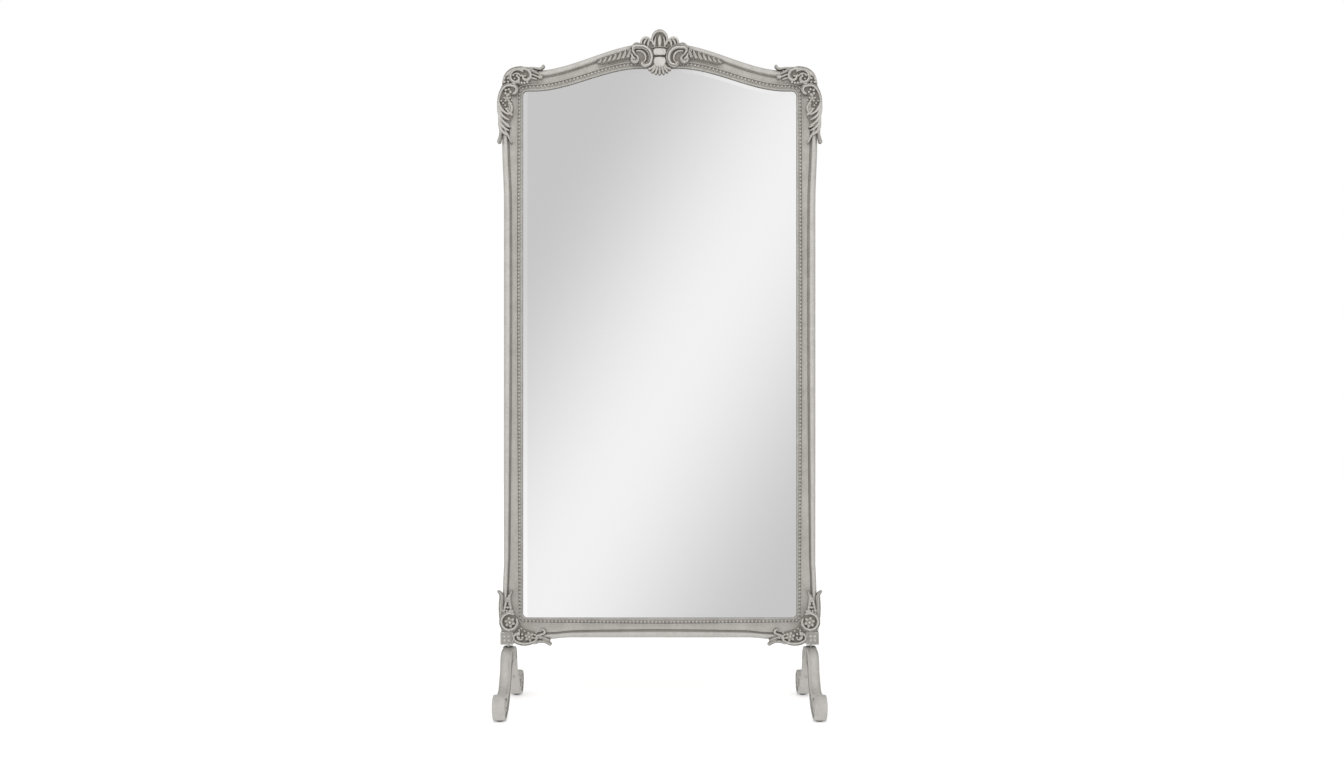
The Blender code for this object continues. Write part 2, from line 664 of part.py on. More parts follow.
def make_tongue(shop, name, side, block):
    pivot = (side * LEG_X, 0.0, PIVOT_HEIGHT)
    tongue = shop.place(tongue_mesh("tongue"), "tongue_bracket_" + name, shop.steel, pivot,
                        (math.pi / 2, 0.0, math.pi / 2), on_frame=True)
    flange = shop.cutter(box_mesh("flange", (FLANGE_WIDTH, FLANGE_LENGTH, FLANGE_THICKNESS)),
                         "flange_" + name,
                         (side * LEG_X, 0.0, PLINTH_BOTTOM + FLANGE_THICKNESS / 2))
    join = tongue.modifiers.new("flange", "BOOLEAN")
    join.operation = "UNION"
    join.object = flange
    cut(tongue, shop.cutter(rod_mesh("tongue_hole", BOLT_RADIUS + GAP, 2 * TONGUE_THICKNESS),
                            "tongue_hole_" + name, pivot, turn_along("X")))
    for place, offset in (("inner", -side), ("outer", side)):
        x = side * LEG_X + offset * FLANGE_SCREW_SPACING / 2
        screw_name = "tongue_screw_" + place + "_" + name
        lathe(shop.place(screw_mesh(screw_name), screw_name, shop.steel,
                         (x, 0.0, PLINTH_BOTTOM - GAP), turn_along("Z", -1), on_frame=True))
        depth = SCREW_LENGTH + 2 * GAP
        hole = shop.cutter(rod_mesh(screw_name + "_hole", SCREW_RADIUS + GAP, depth),
                           screw_name + "_hole", (x, 0.0, PLINTH_BOTTOM - GAP + depth / 2))
        cut(tongue, hole)
        cut(block, hole)


def make_carvings(shop):
    """Corner carvings and the crest, planted on the front of the mouldings."""
    y = FRONT - GAP - CARVING_THICKNESS / 2
    upright = (math.pi / 2, 0.0, 0.0)
    for name, side in SIDES:
        places = (("top_corner_carving_", TOP_CARVING, OUTER_TOP),
                  ("bottom_corner_carving_", BOTTOM_CARVING, OUTER_BOTTOM))
        for prefix, outline, corner_z in places:
            points = [(side * entry[0], *entry[1:]) for entry in outline]
            carving = shop.place(flat_mesh(prefix, points, CARVING_THICKNESS), prefix + name,
                                 shop.paint, (side * OUTER_HALF, y, corner_z), upright,
                                 on_frame=True)
            if outline is BOTTOM_CARVING:
                cut(carving, bpy.data.objects["plinth_space_" + name])
        points = [(side * entry[0], entry[1]) for entry in SPRAY]
        shop.place(flat_mesh("spray", points, CARVING_THICKNESS), "crest_spray_" + name,
                   shop.paint, (0.0, y, CREST_BASE), upright, on_frame=True)
    y = FRONT - GAP - CREST_THICKNESS / 2
    for name, half in (("crest_shell", SHELL_HALF), ("crest_cartouche", CARTOUCHE_HALF)):
        shop.place(flat_mesh(name, mirrored(half), CREST_THICKNESS), name, shop.paint,
                   (0.0, y, CREST_BASE), upright, on_frame=True)


# ---------------------------------------------------------------- stand parts
def saddle_outline():
    """Side view of the saddle: domed crown above, hollow of the arch below."""
    under_middle = CROWN_HEIGHT - SADDLE_ARCH
    return [
        (-SADDLE_HALF + GAP / 2, SHOULDER_HEIGHT, "corner"),
        (-SADDLE_HALF * 0.35, SHOULDER_HEIGHT + CROWN_DOME * 0.45),
        (0.0, CROWN_HEIGHT),
        (SADDLE_HALF * 0.35, SHOULDER_HEIGHT + CROWN_DOME * 0.45),
        (SADDLE_HALF - GAP / 2, SHOULDER_HEIGHT, "corner"),
        (SADDLE_HALF - GAP / 2, SADDLE_UNDER_END, "corner"),
        (SADDLE_HALF * 0.5, under_middle - SADDLE_ARCH_DROP * 0.25),
        (0.0, under_middle),
        (-SADDLE_HALF * 0.5, under_middle - SADDLE_ARCH_DROP * 0.25),
        (-SADDLE_HALF + GAP / 2, SADDLE_UNDER_END, "corner"),
    ]


def volute_arc(steps=9):
    """Scroll's rim from its top, over its front, to its sole: the radius grows as it winds."""
    points = []
    for step in range(steps + 1):
        turn = step / steps
        angle = math.radians(95 - 175 * turn)
        grow = min(turn * 2, 1.0)
        radius = VOLUTE_TOP_RADIUS + (VOLUTE_FRONT_RADIUS - VOLUTE_TOP_RADIUS) * grow
        if turn > 0.5:
            radius += (VOLUTE_CENTRE_HEIGHT - VOLUTE_FRONT_RADIUS) * (turn - 0.5) * 2
        points.append((VOLUTE_REACH + radius * math.cos(angle),
                       VOLUTE_CENTRE_HEIGHT + radius * math.sin(angle)))
    return points


def leg_outline():
    """Side view of a leg, drawn outwards from the saddle."""
    run = VOLUTE_REACH - SADDLE_HALF
    start = SADDLE_HALF + GAP / 2

    def stem(points):
        return [(SADDLE_HALF + along * run, up * SHOULDER_HEIGHT) for along, up in points]

    return ([(start, SHOULDER_HEIGHT, "corner")] + stem(STEM_FRONT) + volute_arc()
            + stem(STEM_UNDER) + [(start, SADDLE_UNDER_END, "corner")])


def make_saddle(shop, name, side):
    """Middle block of the arch, slotted from above for the tongue and bored for the bolt."""
    x = side * LEG_X
    saddle = shop.place(flat_mesh("saddle", saddle_outline(), LEG_THICKNESS),
                        "saddle_" + name, shop.paint, (x, 0.0, 0.0),
                        (math.pi / 2, 0.0, math.pi / 2))
    cut(saddle, box_between(shop, "tongue_slot_" + name,
                            (x - SLOT_WIDTH / 2, -SLOT_HALF_LENGTH, SLOT_FLOOR),
                            (x + SLOT_WIDTH / 2, SLOT_HALF_LENGTH,
                             CROWN_HEIGHT + CUTTER_MARGIN)))
    pivot = Vector((x, 0.0, PIVOT_HEIGHT))
    outwards = Vector((side, 0.0, 0.0))
    half = LEG_THICKNESS / 2
    bores = (("bolt_bore_", BOLT_RADIUS + GAP, LEG_THICKNESS + CUTTER_MARGIN, 0.0),
             ("head_bore_", BOLT_HEAD_RADIUS + GAP, BOLT_HEAD_HEIGHT + 2 * GAP,
              half - BOLT_HEAD_HEIGHT / 2),
             ("nut_bore_", NUT_RADIUS + GAP, NUT_HEIGHT + 2 * GAP, -half + NUT_HEIGHT / 2))
    for prefix, radius, length, offset in bores:
        cut(saddle, shop.cutter(rod_mesh(prefix, radius, length), prefix + name,
                                pivot + outwards * offset, turn_along("X")))
    return saddle


def make_pivot(shop, name, side):
    """Bolt from the outer face, barrel nut in the inner one, a washer each side of the tongue."""
    pivot = Vector((side * LEG_X, 0.0, PIVOT_HEIGHT))
    outwards = Vector((side, 0.0, 0.0))
    half = LEG_THICKNESS / 2
    socket = BOLT_HEAD_RADIUS * 0.5
    tail = -LEG_THICKNESS + 2 * GAP
    profile = [(0.0, -BOLT_HEAD_HEIGHT * 0.5), (socket, -BOLT_HEAD_HEIGHT * 0.5), (socket, 0.0),
               (BOLT_HEAD_RADIUS - SMALL_CHAMFER, 0.0), (BOLT_HEAD_RADIUS, -SMALL_CHAMFER),
               (BOLT_HEAD_RADIUS, -BOLT_HEAD_HEIGHT + GAP),
               (BOLT_RADIUS, -BOLT_HEAD_HEIGHT + GAP), (BOLT_RADIUS, tail), (0.0, tail)]
    bolt_name = "pivot_bolt_" + name
    lathe(shop.place(turned_mesh(bolt_name, profile), bolt_name, shop.steel,
                     pivot + outwards * (half - GAP), turn_along("X", side)))
    nut_name = "pivot_nut_" + name
    ring(shop, nut_name, NUT_RADIUS, NUT_HEIGHT - GAP,
         pivot - outwards * (half - (NUT_HEIGHT + GAP) / 2), side)
    offset = TONGUE_THICKNESS / 2 + GAP + WASHER_THICKNESS / 2
    for place, sign in (("outer", 1), ("inner", -1)):
        ring(shop, "friction_washer_" + place + "_" + name, WASHER_RADIUS, WASHER_THICKNESS,
             pivot + outwards * sign * offset, side)


def ring(shop, name, radius, thickness, centre, side):
    """A ring on the bolt."""
    bore, half = BOLT_RADIUS + GAP, thickness / 2
    profile = [(bore, half), (radius, half), (radius, -half), (bore, -half)]
    lathe(shop.place(turned_mesh(name, profile), name, shop.steel, centre,
                     turn_along("X", side)))


def make_leg(shop, name, side, end, forward, saddle):
    """One scroll leg with its dowel, its plug and its glide; forward is -1 at the front."""
    x = side * LEG_X
    outline = [(forward * entry[0], *entry[1:]) for entry in leg_outline()]
    leg = shop.place(flat_mesh("leg", outline, LEG_THICKNESS), end + "_leg_" + name,
                     shop.paint, (x, 0.0, 0.0), (math.pi / 2, 0.0, math.pi / 2))
    glide_y = forward * VOLUTE_REACH
    sole = GLIDE_HEIGHT + GAP
    cut(leg, box_between(shop, end + "_sole_" + name,
                         (x - LEG_THICKNESS, glide_y - VOLUTE_FRONT_RADIUS, -CUTTER_MARGIN),
                         (x + LEG_THICKNESS, glide_y + VOLUTE_FRONT_RADIUS, sole)))
    glide_name = end + "_glide_" + name
    profile = [(0.0, GLIDE_HEIGHT), (GLIDE_RADIUS, GLIDE_HEIGHT),
               (GLIDE_RADIUS, SMALL_CHAMFER), (GLIDE_RADIUS - SMALL_CHAMFER, 0.0), (0.0, 0.0)]
    lathe(shop.place(turned_mesh(glide_name, profile), glide_name, shop.felt,
                     (x, glide_y, 0.0)))

    joint_height = (SHOULDER_HEIGHT + SADDLE_UNDER_END) / 2
    length = DOWEL_DEPTH_IN_SADDLE + DOWEL_DEPTH_IN_LEG
    middle = SADDLE_HALF + (DOWEL_DEPTH_IN_LEG - DOWEL_DEPTH_IN_SADDLE) / 2
    place = (x, forward * middle, joint_height)
    dowel_name = end + "_dowel_" + name
    shop.place(rod_mesh(dowel_name, DOWEL_RADIUS, length), dowel_name, shop.wood, place,
               turn_along("Y"))
    hole = shop.cutter(rod_mesh(dowel_name + "_hole", DOWEL_RADIUS + GAP, length + 2 * GAP),
                       dowel_name + "_hole", place, turn_along("Y"))
    cut(leg, hole)
    cut(saddle, hole)

    plug_name = end + "_leg_plug_" + name
    shop.place(rod_mesh(plug_name, PLUG_RADIUS, PLUG_LENGTH), plug_name, shop.paint,
               (x, forward * PLUG_REACH, PLUG_HEIGHT), turn_along("Y"))
    depth = 2 * PLUG_LENGTH
    cut(leg, shop.cutter(rod_mesh(plug_name + "_hole", PLUG_RADIUS + GAP, depth),
                         plug_name + "_hole",
                         (x, forward * (PLUG_REACH + PLUG_LENGTH / 2 + PLUG_BED - depth / 2),
                          PLUG_HEIGHT), turn_along("Y")))


def make_stands(shop):
    for name, side in SIDES:
        saddle = make_saddle(shop, name, side)
        make_pivot(shop, name, side)
        for end, forward in (("front", -1), ("rear", 1)):
            make_leg(shop, name, side, end, forward, saddle)


def main():
    clear_scene()
    shop = Workshop()
    make_rails(shop)
    make_glass_and_board(shop)
    make_plinths(shop)
    make_carvings(shop)
    make_stands(shop)


main()
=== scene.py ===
import math

import bmesh
import bpy
from mathutils import Matrix, Vector


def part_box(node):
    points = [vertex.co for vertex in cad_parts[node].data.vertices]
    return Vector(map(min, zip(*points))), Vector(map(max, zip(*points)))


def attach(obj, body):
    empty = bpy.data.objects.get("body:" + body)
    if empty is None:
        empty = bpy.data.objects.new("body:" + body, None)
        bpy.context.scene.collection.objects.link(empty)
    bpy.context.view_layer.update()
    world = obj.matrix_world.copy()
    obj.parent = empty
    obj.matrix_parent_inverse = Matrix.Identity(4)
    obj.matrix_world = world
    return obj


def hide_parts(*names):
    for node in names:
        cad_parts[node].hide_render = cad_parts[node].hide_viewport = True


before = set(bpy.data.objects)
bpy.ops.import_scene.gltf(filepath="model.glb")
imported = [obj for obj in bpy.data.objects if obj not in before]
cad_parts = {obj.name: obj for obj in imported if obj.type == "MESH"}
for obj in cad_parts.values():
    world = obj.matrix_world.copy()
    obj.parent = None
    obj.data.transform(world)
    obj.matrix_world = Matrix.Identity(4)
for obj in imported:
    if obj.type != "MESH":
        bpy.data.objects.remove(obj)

mm = 0.001
scene = bpy.context.scene
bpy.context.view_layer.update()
print("frame loaded:", len(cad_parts), "CAD pieces")

# the ornaments are planted on the front of the mouldings
planting = {
    "bed": -0.0085,         # y of their undersides, sunk into the mouldings
    "ground": -0.0170,      # y of the ground between the leaves, just over the torus
    "voxel": 0.0008,        # grain of the carved skin
    "sideLimit": 0.4184, "topLimit": 1.7496,
}


# ---- shaping tools

def smoothPath(points, steps=5):
    # a Catmull-Rom curve through the given points
    path = []
    last = len(points) - 1
    for number in range(last):
        near = [points[min(max(number + shift, 0), last)] for shift in (-1, 0, 1, 2)]
        for step in range(steps):
            t = step / steps
            path.append(tuple(
                0.5 * (2 * b + (c - a) * t + (2 * a - 5 * b + 4 * c - d) * t * t
                       + (3 * b - a - 3 * c + d) * t ** 3)
                for a, b, c, d in zip(*near)))
    path.append(tuple(points[last]))
    return path


def evenly(path, count):
    # the same path as count points at equal distances
    points = [Vector(point) for point in path]
    lengths = [(b - a).length for a, b in zip(points, points[1:])]
    total, made = sum(lengths), []
    for number in range(count):
        left = total * number / (count - 1)
        for start, end, length in zip(points, points[1:], lengths):
            if left <= length + 1e-9:
                break
            left -= length
        made.append(start.lerp(end, min(left / max(length, 1e-9), 1.0)))
    return made


def sweepRows(rows, capped=True):
    # carry a closed section from row to row by extruding its edges
    bm = bmesh.new()
    row = [bm.verts.new(point) for point in rows[0]]
    edges = [bm.edges.new(pair) for pair in zip(row, row[1:] + row[:1])]
    if capped:
        bmesh.ops.contextual_create(bm, geom=edges)
    for points in rows[1:]:
        grown = bmesh.ops.extrude_edge_only(bm, edges=edges)["geom"]
        fresh = {item for item in grown if isinstance(item, bmesh.types.BMVert)}
        row = [next(edge.other_vert(vert) for edge in vert.link_edges
                    if edge.other_vert(vert) in fresh) for vert in row]
        edges = [item for item in grown if isinstance(item, bmesh.types.BMEdge)
                 and all(vert in fresh for vert in item.verts)]
        for vert, point in zip(row, points):
            vert.co = point
    if capped:
        bmesh.ops.contextual_create(bm, geom=edges)
    bmesh.ops.recalc_face_normals(bm, faces=bm.faces)
    return bm


def pour(part, whole):
    # add one bmesh to another
    holder = bpy.data.meshes.new("holder")
    part.to_mesh(holder)
    part.free()
    whole.from_mesh(holder)
    bpy.data.meshes.remove(holder)


def settled(bm, modifiers):
    # apply modifiers to a bmesh and give back the result as a new bmesh
    mesh = bpy.data.meshes.new("settling")
    bm.to_mesh(mesh)
    bm.free()
    holder = bpy.data.objects.new("settling", mesh)
    scene.collection.objects.link(holder)
    for kind, values in modifiers:
        modifier = holder.modifiers.new(kind.lower(), kind)
        for key, value in values.items():
            setattr(modifier, key, value)
    bpy.context.view_layer.update()
    evaluated = holder.evaluated_get(bpy.context.evaluated_depsgraph_get())
    made = bmesh.new()
    made.from_mesh(evaluated.to_mesh())
    evaluated.to_mesh_clear()
    bpy.data.objects.remove(holder, do_unlink=True)
    bpy.data.meshes.remove(mesh)
    return made


def carvedSkin(bm, rounds=3):
    # one continuous skin over all the shapes in the bmesh, its tool marks softened
    skin = settled(bm, [("REMESH", {"mode": "VOXEL", "voxel_size": planting["voxel"]})])
    for _ in range(rounds):
        bmesh.ops.smooth_vert(skin, verts=skin.verts, factor=0.5,
                              use_axis_x=True, use_axis_y=True, use_axis_z=True)
    for vert in skin.verts:
        vert.co.x = min(max(vert.co.x, -planting["sideLimit"]), planting["sideLimit"])
        vert.co.z = min(vert.co.z, planting["topLimit"])
    bmesh.ops.recalc_face_normals(skin, faces=skin.faces)
    return skin


def mirroredCopy(bm):
    # the other hand of a right-hand piece
    copy = bm.copy()
    bmesh.ops.scale(copy, vec=(-1, 1, 1), verts=copy.verts)
    bmesh.ops.recalc_face_normals(copy, faces=copy.faces)
    return copy


def finishPiece(bm, name, body, finish, nodes, sharp=None):
    mesh = bpy.data.meshes.new(name)
    bm.to_mesh(mesh)
    bm.free()
    mesh.shade_smooth()
    if sharp:
        mesh.set_sharp_from_angle(angle=math.radians(sharp))
    mesh.materials.append(finishes[finish])
    piece = bpy.data.objects.new(name, mesh)
    scene.collection.objects.link(piece)
    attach(piece, body)
    if nodes:
        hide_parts(*nodes)
    return piece


# ---- finishes

class Nodes:
    # a small helper that wires a material's nodes
    def __init__(self, name):
        self.material = bpy.data.materials.new(name)
        self.material.use_nodes = True
        self.tree = self.material.node_tree
        self.shader = self.tree.nodes["Principled BSDF"]
        self.place = self.add("ShaderNodeTexCoord").outputs["Object"]

    def add(self, kind, inputs=(), **settings):
        node = self.tree.nodes.new(kind)
        for key, value in settings.items():
            setattr(node, key, value)
        for key, value in dict(inputs).items():
            self.feed(node.inputs[key], value)
        return node

    def feed(self, socket, value):
        if isinstance(value, bpy.types.NodeSocket):
            self.tree.links.new(value, socket)
        else:
            socket.default_value = value

    def noise(self, scale, detail=3.0, roughness=0.55, vector=None):
        return self.add("ShaderNodeTexNoise", {
            "Vector": vector or self.place, "Scale": scale, "Detail": detail,
            "Roughness": roughness}).outputs["Fac"]

    def stretched(self, scale):
        return self.add("ShaderNodeMapping", {
            "Vector": self.place, "Scale": scale}).outputs["Vector"]

    def spread(self, value, low, high, toLow=0.0, toHigh=1.0):
        return self.add("ShaderNodeMapRange", {
            "Value": value, "From Min": low, "From Max": high,
            "To Min": toLow, "To Max": toHigh}).outputs["Result"]

    def blend(self, amount, one, two):
        mix = self.add("ShaderNodeMix", data_type="RGBA")
        self.feed(mix.inputs[0], amount)
        for socket, value in ((mix.inputs[6], one), (mix.inputs[7], two)):
            self.feed(socket, (*value, 1.0) if isinstance(value, tuple) else value)
        return mix.outputs[2]

    def sum(self, one, two, operation="ADD"):
        node = self.add("ShaderNodeMath", operation=operation)
        self.feed(node.inputs[0], one)
        self.feed(node.inputs[1], two)
        return node.outputs[0]

    def bump(self, height, strength, distance):
        made = self.add("ShaderNodeBump", {
            "Height": height, "Strength": strength, "Distance": distance})
        self.feed(self.shader.inputs["Normal"], made.outputs["Normal"])

    def set(self, **values):
        for key, value in values.items():
            socket = self.shader.inputs[key.replace("_", " ")]
            self.feed(socket, (*value, 1.0) if isinstance(value, tuple) else value)
        return self.material


silver = {
    "pale": (0.500, 0.480, 0.448),      # the paint where it is thick
    "dull": (0.412, 0.393, 0.363),      # and where it is rubbed thin
    "wornAndLit": (0.640, 0.620, 0.590),      # polished high places and painted highlights
    "darkWaxAndShade": (0.115, 0.099, 0.080),      # dark wax and painted shade in the hollows, and the dark flecks
    "metallic": 0.22,
    "shadeReach": 0.0065,              # metres, how far the painted shade of the hollows reaches
}


def antiquePaint(name, rubbedAndLit, sunkenWaxAndShade=None, ownShadeOnly=False, shadeStrength=0.9, bothFaces=False):
    # painted silver: cloudy paint and dark flecks, painted shade in hollows and creases (partly dark
    # wax), painted highlights on forward places and sharp edges (partly rubbed wear); the lit and
    # the sunken-shade ranges: how far forward of the frame's middle (from, to) and how strongly
    n = Nodes(name)
    cloud = n.spread(n.noise(26.0, 4.0, 0.6), 0.35, 0.68)
    fleck = n.spread(n.noise(420.0, 3.0, 0.6), 0.38, 0.66)
    colour = n.blend(cloud, silver["dull"], silver["pale"])
    depth = n.add("ShaderNodeSeparateXYZ", {"Vector": n.place}).outputs["Y"]
    height = n.sum(depth, -1.0, "MULTIPLY")
    if bothFaces:
        height = n.add("ShaderNodeMath", {0: depth}, operation="ABSOLUTE").outputs[0]
    # painted highlight, partly rubbed wear: the further forward a surface stands, the lighter it is
    # painted
    rubAndHighlight = n.spread(height, rubbedAndLit[0], rubbedAndLit[1], 0.0, rubbedAndLit[2])
    rubAndHighlight = n.sum(rubAndHighlight, n.spread(n.noise(70.0), 0.3, 0.6, 0.55, 1.0), "MULTIPLY")
    colour = n.blend(rubAndHighlight, colour, silver["wornAndLit"])
    colour = n.blend(n.sum(fleck, 0.22, "MULTIPLY"), colour, silver["darkWaxAndShade"])
    # painted shade, partly dark wax: the sunk ground of the ornaments is painted darker the further
    # back it lies
    if sunkenWaxAndShade:
        sunkenShade = n.spread(height, sunkenWaxAndShade[0], sunkenWaxAndShade[1], sunkenWaxAndShade[2], 0.0)
        colour = n.blend(sunkenShade, colour, silver["darkWaxAndShade"])
    # painted shade: hollows and gaps between parts darkened by their ambient occlusion, partly dark
    # wax
    shadeProbe = n.add("ShaderNodeAmbientOcclusion", {"Distance": silver["shadeReach"]},
                 samples=8, only_local=ownShadeOnly)
    colour = n.blend(n.spread(shadeProbe.outputs["AO"], 0.92, 0.36, 0.0, shadeStrength), colour, silver["darkWaxAndShade"])
    # painted shade in creases and painted highlight on sharp edges, the edges partly real wear
    form = n.add("ShaderNodeNewGeometry").outputs["Pointiness"]
    colour = n.blend(n.spread(form, 0.49, 0.43, 0.0, 0.35), colour, silver["darkWaxAndShade"])
    colour = n.blend(n.spread(form, 0.52, 0.62, 0.0, 0.35), colour, silver["wornAndLit"])
    pits = n.sum(n.noise(900.0, 2.0), n.sum(n.noise(210.0, 3.0), 1.4, "MULTIPLY"))
    n.bump(pits, 0.22, 0.0006)
    rough = n.spread(n.noise(60.0, 3.0), 0.3, 0.7, 0.42, 0.58)
    return n.set(Base_Color=colour, Roughness=rough, Metallic=silver["metallic"])


def mirrorFinish(name):
    n = Nodes(name)
    smear = n.spread(n.noise(7.0, 3.0), 0.4, 0.75, 0.012, 0.028)
    tint = n.blend(n.noise(1.7), (0.938, 0.938, 0.938), (0.950, 0.950, 0.950))
    return n.set(Base_Color=tint, Roughness=smear, Metallic=1.0)


def boardFinish(name):
    # hardboard: short pressed fibres
    n = Nodes(name)
    fibre = n.noise(340.0, 5.0, 0.7, n.stretched((1.0, 1.0, 0.35)))
    blotch = n.noise(9.0, 4.0)
    colour = n.blend(n.spread(fibre, 0.3, 0.7), (0.135, 0.085, 0.047), (0.240, 0.165, 0.098))
    colour = n.blend(n.spread(blotch, 0.4, 0.7, 0.0, 0.35), colour, (0.105, 0.068, 0.040))
    n.bump(fibre, 0.35, 0.0005)
    return n.set(Base_Color=colour, Roughness=n.spread(fibre, 0.3, 0.7, 0.62, 0.82))


def steelFinish(name):
    n = Nodes(name)
    brushed = n.noise(700.0, 3.0, 0.6, n.stretched((0.08, 1.0, 1.0)))
    colour = n.blend(n.noise(120.0, 4.0), (0.42, 0.415, 0.40), (0.58, 0.575, 0.56))
    n.bump(brushed, 0.12, 0.0002)
    return n.set(Base_Color=colour, Metallic=1.0,
                 Roughness=n.spread(brushed, 0.3, 0.7, 0.26, 0.44))


def dowelFinish(name):
    # beech: fine grain along the pin
    n = Nodes(name)
    grain = n.noise(260.0, 5.0, 0.6, n.stretched((1.0, 0.08, 1.0)))
    colour = n.blend(grain, (0.50, 0.33, 0.18), (0.66, 0.48, 0.29))
    n.bump(grain, 0.25, 0.0004)
    return n.set(Base_Color=colour, Roughness=n.spread(grain, 0.3, 0.7, 0.55, 0.7))


def feltFinish(name):
    n = Nodes(name)
    fluff = n.noise(1100.0, 4.0, 0.7)
    colour = n.blend(fluff, (0.035, 0.031, 0.027), (0.085, 0.077, 0.068))
    n.bump(fluff, 0.6, 0.0006)
    return n.set(Base_Color=colour, Roughness=n.spread(fluff, 0.2, 0.8, 0.85, 1.0))


finishes = {
    "painted_wood": antiquePaint("paintedMoulding", (0.0105, 0.0150, 0.62), ownShadeOnly=True,
                                 shadeStrength=0.6),
    "stand_paint": antiquePaint("paintedStand", (0.02, 0.06, 0.48), bothFaces=True),
    "painted_resin": antiquePaint("paintedOrnament", (0.0195, 0.0245, 0.95), (0.0172, 0.0212, 0.62)),
    "mirror": mirrorFinish("silveredGlass"),
    "board": boardFinish("backBoard"),
    "steel": steelFinish("bareSteel"),
    "dowel": dowelFinish("beechDowel"),
    "glide": feltFinish("feltGlide"),
}
print("finishes mixed:", len(finishes))


# ---- mouldings

moulding = {
    "sightHalf": 0.354, "sightLow": 0.230, "sightHigh": 1.5925, "sightRadius": 0.012,
    "outerHalf": 0.402, "outerLow": 0.180, "outerHigh": 1.6425,
    "outerRadiusLow": 0.012, "outerRadiusHigh": 0.032,
    "width": 0.048,
    "archStart": 0.3265, "sightRise": 0.0585, "sightCrownRun": 0.050,
    "outerRise": 0.0705, "outerCrownRun": 0.026,
    "archSteps": 72, "cornerSteps": 6, "straightSteps": 40,
    # the outer edge swells towards the carved corners: (start, full, easing, end, metres)
    "highSwell": (1.30, 1.46, 1.53, 1.60, 0.0048), "lowSwell": (0.37, 0.31, 0.26, 0.21, 0.0030),
    "railSwell": (0.235, 0.285, 0.33, 0.375, 0.0040),
}

# across the moulding from the sight edge, in mm: (offset, share of any extra width, y)
lipAndBeadChannel = [
    (8.5, 0, 5.5), (8.5, 0, 0.2), (0.0, 0, 0.2), (0.0, 0, -1.2), (0.3, 0, -2.2), (1.0, 0, -3.1),
    (2.0, 0, -3.5), (3.2, 0, -3.4), (4.0, 0, -3.0), (4.5, 0, -2.6), (5.2, 0, -2.4),
    (13.4, 0, -2.4), (13.7, 0, -3.4), (13.9, 0, -5.4), (14.2, 0, -6.6), (14.8, 0, -7.2),
    (15.5, 0, -7.3), (16.3, 0, -7.0),
]
coveAndQuirk = [
    (17.0, 0.08, -6.5), (18.2, 0.25, -6.25), (19.5, 0.4, -6.3), (20.8, 0.55, -6.6),
    (22.0, 0.7, -7.1), (23.1, 0.82, -7.7), (24.1, 0.92, -8.5), (24.8, 1, -9.1),
    (25.4, 1, -9.4), (25.9, 1, -9.2), (26.3, 1, -8.4), (26.8, 1, -7.4), (27.6, 1, -6.9),
    (28.8, 1, -6.8), (30.0, 1, -7.1), (30.7, 1, -7.9),
]
torusAndEdge = [
    (31.1, 1, -9.4), (31.5, 1, -11.4), (32.2, 1, -13.3), (33.3, 1, -14.8), (34.9, 1, -15.7),
    (36.8, 1, -16.0), (38.9, 1, -15.7), (41.0, 1, -14.9), (43.0, 1, -13.5), (44.9, 1, -11.5),
    (46.5, 1, -9.0), (47.6, 1, -6.2), (48.0, 1, -4.0),
]
backOfMoulding = [(48.0, 1, 15.4), (47.4, 1, 16.0), (21.0, 0, 16.0), (20.5, 0, 15.5), (20.5, 0, 5.5)]


def smoothStep(share):
    share = min(max(share, 0.0), 1.0)
    return share * share * (3 - 2 * share)


def swell(place, start, full, easing, end, most):
    return most * smoothStep((place - start) / (full - start)) * smoothStep(
        (end - place) / (end - easing))


def archHeight(x, base, rise, crownRun):
    share = (moulding["archStart"] - abs(x)) / (moulding["archStart"] - crownRun)
    return base + rise * smoothStep(share)


def cornerStations(high, start, end):
    # matching points of the sight edge and the outer edge round one right-hand corner
    m = moulding
    sign = 1 if high else -1
    sightZ = m["sightHigh"] if high else m["sightLow"]
    outerZ = m["outerHigh"] if high else m["outerLow"]
    outerRadius = m["outerRadiusHigh"] if high else m["outerRadiusLow"]
    stations = []
    for step in range(m["cornerSteps"] + 1):
        angle = math.radians(start + (end - start) * step / m["cornerSteps"])
        turn = Vector((math.cos(angle), 0, math.sin(angle)))
        sight = Vector((m["sightHalf"] - m["sightRadius"], 0, sightZ - sign * m["sightRadius"]))
        outer = Vector((m["outerHalf"] - outerRadius, 0, outerZ - sign * outerRadius))
        stations.append((sight + turn * m["sightRadius"], outer + turn * outerRadius))
    return stations


def acrossMirror(stations):
    flip = Vector((-1, 1, 1))
    return [(sight * flip, outer * flip) for sight, outer in reversed(stations)]


def between(start, end):
    # stations along a straight side, with the swell of its outer edge
    m, stations = moulding, []
    upright = abs(end[0].z - start[0].z) > abs(end[0].x - start[0].x)
    for step in range(1, m["straightSteps"]):
        share = step / m["straightSteps"]
        sight, outer = start[0].lerp(end[0], share), start[1].lerp(end[1], share)
        if upright:
            outer.x += swell(outer.z, *m["highSwell"]) + swell(outer.z, *m["lowSwell"])
        else:
            outer.z -= swell(abs(outer.x), *m["railSwell"])
        stations.append((sight, outer))
    return stations


